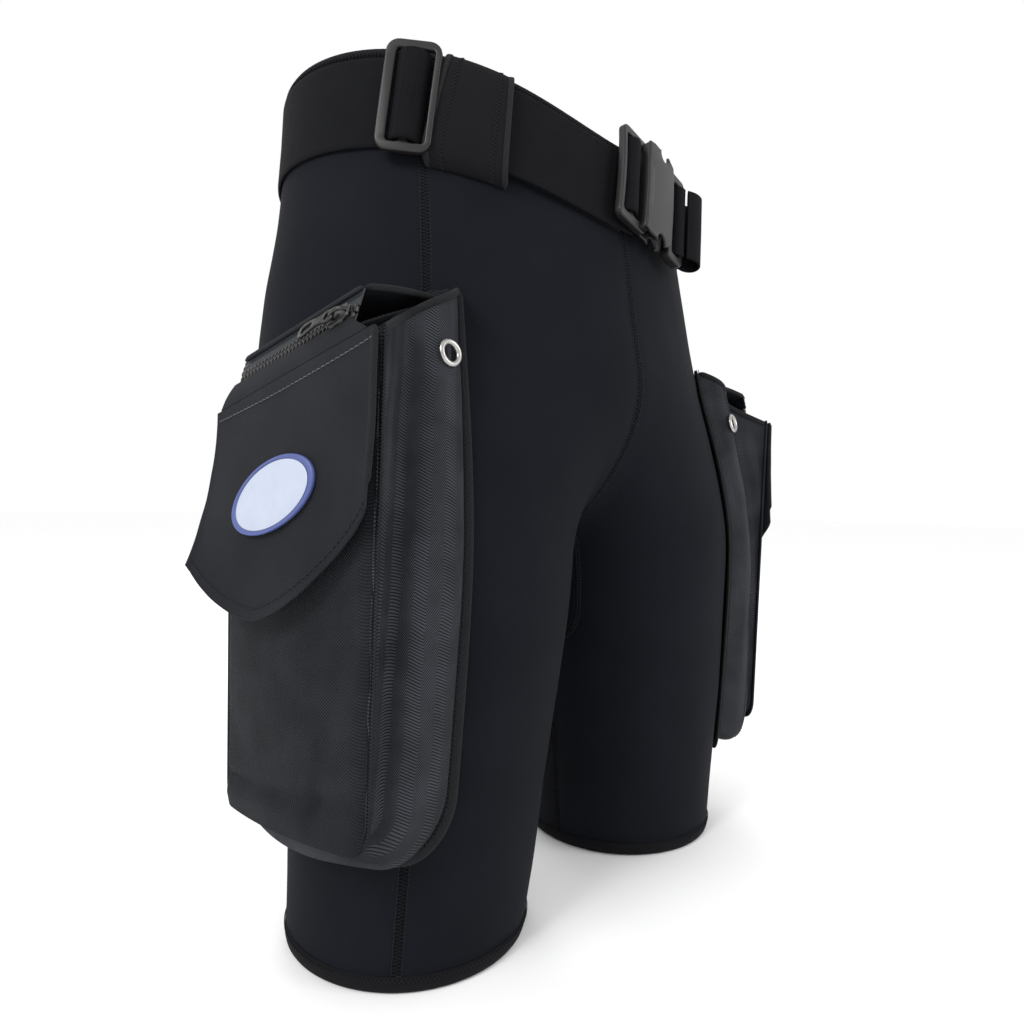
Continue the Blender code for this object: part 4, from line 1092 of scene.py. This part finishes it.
def pocket_face(side, word):
    across, up = panel_grid(FACE_CORNER, 56, 90)
    out = pocket_out(side)
    middle = face_point(side, across, up)
    away = np.minimum(1 - np.abs(across), np.minimum(up, 1 - up) * 2)
    fade = np.clip(away / 0.15, 0, 1)
    normal = np.broadcast_to(out, middle.shape)
    middle = ripple(middle, normal, 55 * MM, 2.6 * MM, 2.0 if side < 0 else 7.0, fade)
    fold = 0.085 - 0.01 * across
    crease = np.exp(-((across + 0.86 - 0.9 * (0.55 - up)) / 0.09) ** 2) * np.clip(1 - up / 0.6, 0, 1)
    dent = 2.4 * MM * np.exp(-((up - fold) / 0.014) ** 2) + 2.2 * MM * crease
    puff = 1.6 * MM * np.exp(-((up - fold + 0.045) / 0.022) ** 2)
    middle = middle + out * ((puff - dent) * fade)[..., None]
    middle = middle - out * (2.2 * MM * np.exp(-((1 - np.abs(across)) / 0.07) ** 2))[..., None]
    piece = sheet_piece("pocket_front_" + word, middle + out * 0.6 * MM, middle - out * 0.6 * MM)
    settle(piece, "basket", ROOT, "pocket_face_" + word)
    path = u_path(60, FACE_CORNER)
    points = face_point(side, path[:, 0] * 1.003, path[:, 1], -1.9 * MM)
    normals = np.broadcast_to(out, points.shape)
    tape_along("pocket_front_tape_" + word, points, normals, 1.6 * MM, 1.8 * MM, ROOT, "basket")


def bellows_folds(side):
    """Control points across the bellows, station by station, and the way out of the pocket."""
    base_path = u_path(34, BASE_CORNER)
    face_path = u_path(34, FACE_CORNER)
    along = np.gradient(base_path * np.array([60 * MM, 280 * MM]), axis=0)
    back = pocket_point(side, 1.0, 0.0, 0.0) - pocket_point(side, 0.0, 0.0, 0.0)
    start = base_point(side, base_path[:, 0] * 0.985, 0.012 + base_path[:, 1] * 0.98, 4.0 * MM)
    stop = face_point(side, face_path[:, 0] * 0.975, 0.014 + face_path[:, 1] * 0.975, -1.2 * MM)
    away = back * along[:, 1:] + np.array([0, 0, 1.0]) * -along[:, :1]
    away /= np.linalg.norm(away, axis=1, keepdims=True)
    out = pocket_out(side)
    reach = stop - start
    depth = out * (reach @ out)[:, None]
    flat = reach - depth
    high = np.clip((base_path[:, 1:] - 0.15) / 0.85, 0.0, 1.0)
    ridge = start + depth * (0.58 - 0.24 * high) + flat * 0.3 + away * 4 * MM
    valley = start + depth * (0.76 - 0.22 * high) + flat * 0.6 - away * (8 + 5 * high) * MM
    return start, ridge, valley, stop, away


def pocket_bellows(side, word):
    """Bellows with a puffed outer ridge and a creased inner valley."""
    start, ridge, valley, stop, away = bellows_folds(side)
    low = start * 0.72 + ridge * 0.28 + away * 3.6 * MM
    high = start * 0.28 + ridge * 0.72 + away * 4.6 * MM
    turned = ridge * 0.85 + valley * 0.15
    inner = ridge * 0.45 + valley * 0.55 - away * 1.0 * MM
    rows = []
    for points in zip(start, start, low, high, turned, inner, valley, stop, stop):
        rows.append(spline_through(np.array(points), BELLOWS_COLUMNS))
    middle = np.array(rows)
    normal = grid_normals(middle)
    fade = np.sin(np.linspace(0, math.pi, BELLOWS_COLUMNS)) ** 0.7
    middle = ripple(middle, normal, 30 * MM, 1.5 * MM, 4.0 if side < 0 else 8.0, fade)
    piece = thick_sheet("pocket_bellows_" + word, middle, 1.2 * MM)
    settle(piece, "herringbone", ROOT, "pocket_gusset_" + word)
    return middle, normal


def bellows_trim(word, middle, normal):
    """Tape over the bellows' two top ends, and stitches down the ridge."""
    for row, name in ((0, "front"), (-1, "back")):
        path = middle[row, 1:-1]
        tape_along("pocket_end_tape_" + name + "_" + word, path, normal[row, 1:-1], 4.0 * MM,
                   3.4 * MM, ROOT)
    path = middle[:, RIDGE_COLUMN]
    out = normal[:, RIDGE_COLUMN]
    threads("pocket_ridge_stitching_" + word, running_stitch(path + out * 0.7 * MM, out), THREAD,
            "thread", ROOT)


def eyelet(word, middle):
    """Nickel eyelet with a rolled rim, seated on the bellows beside its node, with a dark disc in its
    bore as painted shade.
    """
    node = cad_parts["eyelet_" + word]
    points = np.array([node.matrix_world @ v.co for v in node.data.vertices])
    centre = points.mean(axis=0)
    gap = np.linalg.norm(middle - centre, axis=2)
    row, column = np.unravel_index(np.argmin(gap), gap.shape)
    up = middle[max(row - 3, 0), column] - middle[row + 3, column]
    up /= np.linalg.norm(up)
    across = middle[row, column + 3] - middle[row, column - 3]
    across -= up * np.dot(across, up)
    across /= np.linalg.norm(across)
    out = np.cross(across, up)
    if out[1] > 0:
        out = -out
    centre = middle[row, column] + out * 1.7 * MM
    profile = [(4.0, -1.4), (6.8, -1.2), (7.2, -0.4), (6.9, 0.4), (6.0, 1.1), (5.0, 1.0),
               (4.3, 0.3), (4.0, -0.6)]
    sections = []
    for turn in np.linspace(0, 2 * math.pi, 48, endpoint=False):
        ray = across * math.cos(turn) + up * math.sin(turn)
        sections.append([centre + ray * r * MM + out * h * MM for r, h in profile])
    piece = sweep_piece("eyelet_ring_" + word, sections, closed=True, sharp=60)
    settle(piece, "nickel", ROOT, "eyelet_" + word)
    # Dark neoprene disc just inside the eyelet's bore: painted shade for the dark view through the
    # hole.
    disc = [centre + (across * math.cos(t) + up * math.sin(t)) * 4.1 * MM - out * 1.2 * MM
            for t in np.linspace(0, 2 * math.pi, 24, endpoint=False)]
    back = [p - out * 0.4 * MM for p in disc]
    hole = sweep_piece("eyelet_shade_disc_" + word, [disc, back])
    settle(hole, "neoprene", ROOT)


def roof_point(side, s, q, m):
    """Point on the zipper's slope: q down the slope, m out of it."""
    n = ROOF_N + q * math.cos(ROOF_SLOPE) + m * math.sin(ROOF_SLOPE)
    z = ROOF_Z - mouth_drop(s) - q * math.sin(ROOF_SLOPE) + m * math.cos(ROOF_SLOPE)
    return pocket_point(side, s, n, z)


def top_strip(side, word):
    """Fabric between the base panel's top edge and the zipper, with a folded piping."""
    t, share = np.meshgrid(np.linspace(0, 1, 40), np.linspace(0, 1, 18))
    across = -0.84 + 1.68 * t
    start = base_point(side, across, np.full(across.shape, 0.975), 4.4 * MM)
    s = ZIP_S[0] + (ZIP_S[1] - ZIP_S[0]) * t
    stop = roof_point(side, s, -0.6 * MM, 0.0)
    middle = start * (1 - share[..., None]) + stop * share[..., None]
    bulge = np.sin(share * math.pi)[..., None] * np.array([0, 0, 1.6 * MM])
    middle = middle + bulge
    piece = thick_sheet("pocket_top_" + word, middle, 1.1 * MM)
    settle(piece, "coated_nylon", ROOT, "pocket_top_strip_" + word)
    s = np.linspace(ZIP_S[0], ZIP_S[1], 40)
    normals = np.broadcast_to(roof_point(side, 0.0, 0.0, 1.0) - roof_point(side, 0.0, 0.0, 0.0),
                              (40, 3))
    tape_along("pocket_piping_" + word, roof_point(side, s, 0.4 * MM, 1.0 * MM), normals,
               3.0 * MM, 2.6 * MM, ROOT, "coated_nylon")
    front = middle[:, 0]
    side_normals = np.broadcast_to(np.array([0, 0, 1.0]), front.shape)
    tape_along("pocket_top_tape_" + word, front, side_normals, 3.4 * MM, 3.0 * MM, ROOT)


def tape_strip(name, side, q0, q1, word):
    """One zipper tape with a beaded inner edge."""
    s, q = np.meshgrid(np.linspace(ZIP_S[0], ZIP_S[1], 60), np.linspace(q0, q1, 14))
    share = (q - q0) / (q1 - q0)
    lift = 0.35 * MM * np.sin(share * math.pi * 3) ** 2
    outer = roof_point(side, s, q, 0.35 * MM + lift)
    inner = roof_point(side, s, q, -0.4 * MM)
    node = "zipper_tape_" + name + "_" + word
    settle(sheet_piece(node + "_cloth", outer, inner), "zipper_tape", ROOT, node)


def tooth_block(work, place, s, root, tip):
    """A moulded tooth: a waist, then a rounded head."""
    rings = [(root, 1.05, 1.25), (root + (tip - root) * 0.35, 0.72, 1.2),
             (root + (tip - root) * 0.70, 1.10, 1.45), (tip, 0.75, 1.15)]
    loops = []
    for q, half_s, half_m in rings:
        loop = []
        for i in range(8):
            turn = math.pi / 4 * i + math.pi / 8
            loop.append(work.verts.new(place(s + half_s * MM * 1.08 * math.cos(turn), q,
                                             half_m * MM * 1.08 * math.sin(turn))))
        loops.append(loop)
    for low, high in zip(loops, loops[1:]):
        for i in range(8):
            work.faces.new((low[i], low[(i + 1) % 8], high[(i + 1) % 8], high[i]))
    work.faces.new(loops[0])
    work.faces.new(loops[-1])


def teeth(side, word, row, root, tip, shift):
    work = bmesh.new()

    def place(s, q, m):
        return Vector(roof_point(side, s, q, m))

    count = int((ZIP_S[1] - ZIP_S[0] - 3 * MM) / TOOTH_PITCH)
    for i in range(count):
        tooth_block(work, place, ZIP_S[0] + 1.8 * MM + shift + i * TOOTH_PITCH, root, tip)
    bmesh.ops.recalc_face_normals(work, faces=work.faces)
    node = "zipper_teeth_" + row + "_" + word
    mesh = bpy.data.meshes.new(node + "_moulded")
    work.to_mesh(mesh)
    work.free()
    mesh.shade_smooth()
    mesh.set_sharp_from_angle(angle=math.radians(50))
    made = bpy.data.objects.new(node + "_moulded", mesh)
    bpy.context.scene.collection.objects.link(made)
    settle(made, "gunmetal", ROOT, node)


def zipper(side, word):
    tape_strip("upper", side, 0.3 * MM, 9.2 * MM, word)
    tape_strip("lower", side, 13.8 * MM, 21.8 * MM, word)
    teeth(side, word, "upper", 8.4 * MM, 12.0 * MM, 0.0)
    teeth(side, word, "lower", 14.6 * MM, 11.0 * MM, TOOTH_PITCH / 2)


def slider(side, word):
    """Slider: two shield plates, a post and a bridge for the pull."""
    body = "slider_" + word

    def place(s, q, m):
        return roof_point(side, SLIDER_AT + s, 11.5 * MM + q, m)

    shield = [(-6.4, -2.6), (-6.4, 2.6), (-4.4, 4.4), (0.5, 4.9), (5.4, 4.0), (6.4, 2.4),
              (6.4, -2.4), (5.4, -4.0), (0.5, -4.9), (-4.4, -4.4)]
    outline = [(s * MM, q * MM) for s, q in shield]
    upper = plate_mesh(outline, [], 1.8 * MM, 3.5 * MM, 0.55 * MM)
    settle(plate_piece("slider_top_" + word, upper, place), "gunmetal", body,
           "zipper_slider_" + word)
    under = plate_mesh(outline, [], -3.1 * MM, -1.8 * MM, 0.45 * MM)
    settle(plate_piece("slider_under_" + word, under, place), "gunmetal", body)
    post = plate_mesh(rectangle(-6.2 * MM, -3.4 * MM, -0.6 * MM, 0.6 * MM, 0.4 * MM), [],
                      -2 * MM, 2 * MM, 0.2 * MM)
    settle(plate_piece("slider_post_" + word, post, place), "gunmetal", body)
    arch = [place(s * MM, 0.0, m * MM)
            for s, m in spline_through(np.array([(-5.6, 3.0, 0), (-5.4, 5.0, 0), (-3.2, 6.6, 0),
                                                 (0.6, 6.8, 0), (3.4, 5.6, 0), (4.4, 3.2, 0)]),
                                       24)[:, :2]]
    threads("slider_bridge_" + word, [arch], 1.0 * MM, "gunmetal", body)
    walls = [[place(s * MM, sign * 4.1 * MM, 2.4 * MM) for s in np.linspace(-4.2, 4.6, 6)]
             for sign in (-1, 1)]
    threads("slider_rims_" + word, walls, 0.75 * MM, "gunmetal", body)


def pull_tab(side, word):
    """Pull lying back along the closed zipper: a ring end, a waist and a flat grip."""
    body = "pull_" + word

    def place(s, q, m):
        return roof_point(side, SLIDER_AT + 1.0 * MM + s, 11.5 * MM + q, m)

    half = [(0.0, 1.9), (1.6, 3.0), (4.4, 3.2), (7.4, 2.2), (10.5, 2.0), (15.0, 2.9), (20.0, 3.3),
            (23.0, 2.6), (24.0, 0.9)]
    outline = [(s * MM, q * MM) for s, q in half] + [(s * MM, -q * MM) for s, q in reversed(half)]
    ring = rectangle(1.5 * MM, 5.4 * MM, -1.7 * MM, 1.7 * MM, 1.4 * MM, 4)
    grip = rectangle(13.4 * MM, 21.4 * MM, -1.6 * MM, 1.6 * MM, 1.4 * MM, 4)
    mesh = plate_mesh(outline, [ring, grip], 4.3 * MM, 5.9 * MM, 0.55 * MM)
    piece = plate_piece("zipper_pull_" + word + "_cast", mesh, place,
                        lambda s, q, m: m + 0.9 * MM * math.sin(s / (24 * MM) * math.pi))
    settle(piece, "gunmetal", body, "zipper_pull_" + word)


def flap_length(s):
    """How far the flap hangs at a place along its top edge: a slanted, rounded tongue."""
    t = (s - FLAP_S[0]) / (FLAP_S[1] - FLAP_S[0])
    front = 78 * MM + 36 * MM * np.sin(math.pi / 2 * np.minimum(t / 0.55, 1.0)) ** 0.8
    back = 37 * MM * (np.maximum(t - 0.55, 0.0) / 0.45) ** 1.5
    return front - back


def flap_point(side, s, t, offset=0.0):
    """Point on the flap: t from its hinge line (0) to its lower edge (1)."""
    z = FLAP_HINGE[1] - mouth_drop(s) - flap_length(s) * t
    up = (z - FACE_Z[0]) / (FACE_Z[1] - mouth_drop(s) - FACE_Z[0])
    across = (s - (FACE_S[0] + FACE_S[1]) / 2) / ((FACE_S[1] - FACE_S[0]) / 2)
    across = np.clip(across, -1.0, 1.0)
    share = (s - FLAP_S[0]) / (FLAP_S[1] - FLAP_S[0])
    flare = (4 + 14 * share**2) * MM * t**1.8
    n = face_depth(across, np.minimum(up, 1.0)) + (FLAP_HINGE[0] - FACE_N) + flare + offset
    return pocket_point(side, s, n, z)


def flap(side, word):
    body = "flap_" + word
    out = pocket_out(side)
    bunched = np.sin(np.linspace(-math.pi / 2, math.pi / 2, 80)) * 0.5 + 0.5
    s, t = np.meshgrid(FLAP_S[0] + (FLAP_S[1] - FLAP_S[0]) * bunched, np.linspace(0, 1, 64))
    middle = flap_point(side, s, t)
    normal = np.broadcast_to(out, middle.shape)
    fade = np.clip(t * 2, 0, 1)
    middle = ripple(middle, normal, 48 * MM, 2.4 * MM, 1.0 if side < 0 else 6.0, fade)
    middle = ripple(middle, normal, 14 * MM, 0.35 * MM, 3.0, fade)
    piece = sheet_piece("flap_cloth_" + word, middle + out * 0.8 * MM, middle - out * 0.8 * MM)
    settle(piece, "coated_nylon", body, "pocket_flap_" + word)
    front = middle[:56, 0]
    tape_along("flap_front_tape_" + word, front, np.broadcast_to(out, front.shape), 3.4 * MM,
               2.6 * MM, body)
    lower = middle[-1]
    tape_along("flap_lower_edge_" + word, lower, np.broadcast_to(out, lower.shape), 1.2 * MM,
               1.7 * MM, body, "coated_nylon")
    row = middle[4] + out * 0.85 * MM
    threads("flap_top_stitching_" + word, running_stitch(row, np.broadcast_to(out, row.shape)),
            THREAD, "pale_thread", body)
    edge = middle[-4, 3:-3] + out * 0.85 * MM
    threads("flap_edge_stitching_" + word, running_stitch(edge, np.broadcast_to(out, edge.shape)),
            THREAD, "thread", body)
    strips(side, word, body)


def flap_root(side, word):
    """Fixed cloth from under the zipper's lower teeth to the flap's fold line."""
    s, share = np.meshgrid(np.linspace(FLAP_S[0] + 4 * MM, FLAP_S[1] - 3 * MM, 60),
                           np.linspace(0, 1, 14))
    along = (s - FLAP_S[0]) / (FLAP_S[1] - FLAP_S[0])
    near = ZIP_S[0] - 1 * MM + (ZIP_S[1] - ZIP_S[0] + 4 * MM) * along
    start = roof_point(side, near, 15.0 * MM, 1.3 * MM)
    stop = flap_point(side, s, 0.0, 0.0) + np.array([0, 0, 0.3 * MM])
    blend_share = share[..., None]
    middle = start * (1 - blend_share) + stop * blend_share
    bulge = np.sin(share * math.pi)[..., None] * pocket_out(side) * 0.8 * MM
    piece = thick_sheet("flap_root_" + word, middle + bulge, 1.2 * MM)
    settle(piece, "coated_nylon", ROOT)


def strips(side, word, body):
    """Hook strip under the flap and loop strip on the pocket's face."""
    s, t = np.meshgrid(np.linspace(-28 * MM, 24 * MM, 30), np.linspace(0.70, 0.86, 10))
    hook = sheet_piece("flap_hooks_" + word, flap_point(side, s, t, -1.0 * MM),
                       flap_point(side, s, t, -2.0 * MM))
    settle(hook, "hook_and_loop", body, "flap_hook_strip_" + word)
    s, t = np.meshgrid(np.linspace(-0.22, 0.5, 30), np.linspace(0.53, 0.61, 10))
    loop = sheet_piece("face_loops_" + word, face_point(side, s, t, 2.1 * MM),
                       face_point(side, s, t, 0.8 * MM))
    settle(loop, "hook_and_loop", ROOT, "face_loop_strip_" + word)


def badge(side):
    """Plain oval badge in the middle of the flap: a raised rim round a blank field."""
    centre_s, centre_z = -4 * MM, 249 * MM
    half_s, half_z = 28 * MM, 17.5 * MM

    def ring(share, offset):
        turn = np.linspace(0, 2 * math.pi, 72, endpoint=False)
        s = centre_s + half_s * share * np.cos(turn)
        z = centre_z + half_z * share * np.sin(turn) - (s - centre_s) * math.tan(MOUTH_SLANT)
        t = (FLAP_HINGE[1] - mouth_drop(s) - z) / flap_length(s)
        return flap_point(side, s, t, offset)

    def disc(name, levels, finish_name, *nodes):
        rings = [ring(share, offset * MM) for share, offset in levels]
        count = len(rings[0])
        faces = [tuple(range(count)), tuple(range((len(rings) - 1) * count, len(rings) * count))]
        for level in range(len(rings) - 1):
            for i in range(count):
                j = (i + 1) % count
                faces.append((level * count + i, level * count + j,
                              (level + 1) * count + j, (level + 1) * count + i))
        piece = mesh_piece(name, np.concatenate(rings), faces, sharp=50)
        settle(piece, finish_name, "flap_right", *nodes)

    disc("badge_rim", [(0.5, 0.9), (0.99, 0.9), (1.0, 1.4), (1.0, 2.2), (0.985, 2.7), (0.95, 2.85),
                       (0.91, 2.7), (0.895, 2.3), (0.5, 2.2)], "badge_rim", "flap_badge")
    disc("badge_field", [(0.1, 2.25), (0.86, 2.25), (0.875, 2.45), (0.86, 2.6), (0.6, 2.66),
                         (0.3, 2.68), (0.1, 2.69)], "badge")


def build_pocket(side, word):
    pocket_base(side, word)
    middle, normal = pocket_bellows(side, word)
    bellows_trim(word, middle, normal)
    pocket_face(side, word)
    top_strip(side, word)
    zipper(side, word)
    slider(side, word)
    pull_tab(side, word)
    flap_root(side, word)
    flap(side, word)
    eyelet(word, middle)


def build_shell():
    for side, word in ((-1, "right"), (1, "left")):
        shell_panel("front_panel_" + word, side, True)
        shell_panel("back_panel_" + word, side, False)
        hem_binding("hem_binding_" + word, side)
    waist_binding()
    crotch_gusset()
    shell_seams()


# ---- stage ----------------------------------------------------------------------------------
def camera():
    data = bpy.data.cameras.new("camera")
    data.lens = CAMERA_LENS
    data.sensor_width = 36
    data.clip_start = 0.01
    made = bpy.data.objects.new("camera", data)
    bpy.context.scene.collection.objects.link(made)
    ahead = Vector((math.sin(CAMERA_HEADING), math.cos(CAMERA_HEADING), 0))
    right = Vector((math.cos(CAMERA_HEADING), -math.sin(CAMERA_HEADING), 0))
    look = ahead * math.cos(CAMERA_PITCH) + Vector((0, 0, math.sin(CAMERA_PITCH)))
    up = right.cross(look)
    turned_right = right * math.cos(CAMERA_ROLL) + up * math.sin(CAMERA_ROLL)
    turned_up = up * math.cos(CAMERA_ROLL) - right * math.sin(CAMERA_ROLL)
    axes = Matrix((turned_right, turned_up, -look)).transposed().to_4x4()
    place = Vector((-math.sin(CAMERA_AZIMUTH) * CAMERA_REACH,
                    -math.cos(CAMERA_AZIMUTH) * CAMERA_REACH, CAMERA_HEIGHT))
    made.matrix_world = Matrix.Translation(place) @ axes
    bpy.context.scene.camera = made


def area_light(name, place, aim, size, power):
    data = bpy.data.lights.new(name, "AREA")
    data.shape = "DISK"
    data.size = size
    data.energy = power
    made = bpy.data.objects.new(name, data)
    made.location = place
    made.rotation_euler = (Vector(aim) - Vector(place)).to_track_quat("-Z", "Y").to_euler()
    bpy.context.scene.collection.objects.link(made)


def studio():
    floor = mesh_piece("floor", [(-8, -8, 0), (8, -8, 0), (8, 8, 0), (-8, 8, 0)], [(0, 1, 2, 3)])
    pale = bpy.data.materials.new("pale_floor")
    pale.use_nodes = True
    shader = pale.node_tree.nodes["Principled BSDF"]
    shader.inputs["Base Color"].default_value = (0.98, 0.98, 0.98, 1)
    shader.inputs["Roughness"].default_value = 0.9
    floor.data.materials.append(pale)
    floor.location.z = -0.1 * MM
    floor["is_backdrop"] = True
    world = bpy.data.worlds.new("studio")
    world.use_nodes = True
    world.node_tree.nodes["Background"].inputs["Color"].default_value = (1, 1, 1, 1)
    world.node_tree.nodes["Background"].inputs["Strength"].default_value = 1.0
    bpy.context.scene.world = world
    bpy.context.scene.view_settings.view_transform = "Standard"
    middle = (0, 0, 0.25)
    area_light("key", (-1.6, -0.2, 1.3), middle, 0.7, 20)
    area_light("front", (0.9, -1.7, 0.8), middle, 0.9, 11)
    area_light("back", (0.8, 1.5, 1.3), middle, 1.0, 8)


camera()
studio()
build_shell()
build_belt()
build_pocket(-1, "right")
build_pocket(1, "left")
badge(-1)

boxes = {"cad": cad_box, "visual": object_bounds()}
{word: [[float(x) for x in corner] for corner in box] for word, box in boxes.items()}
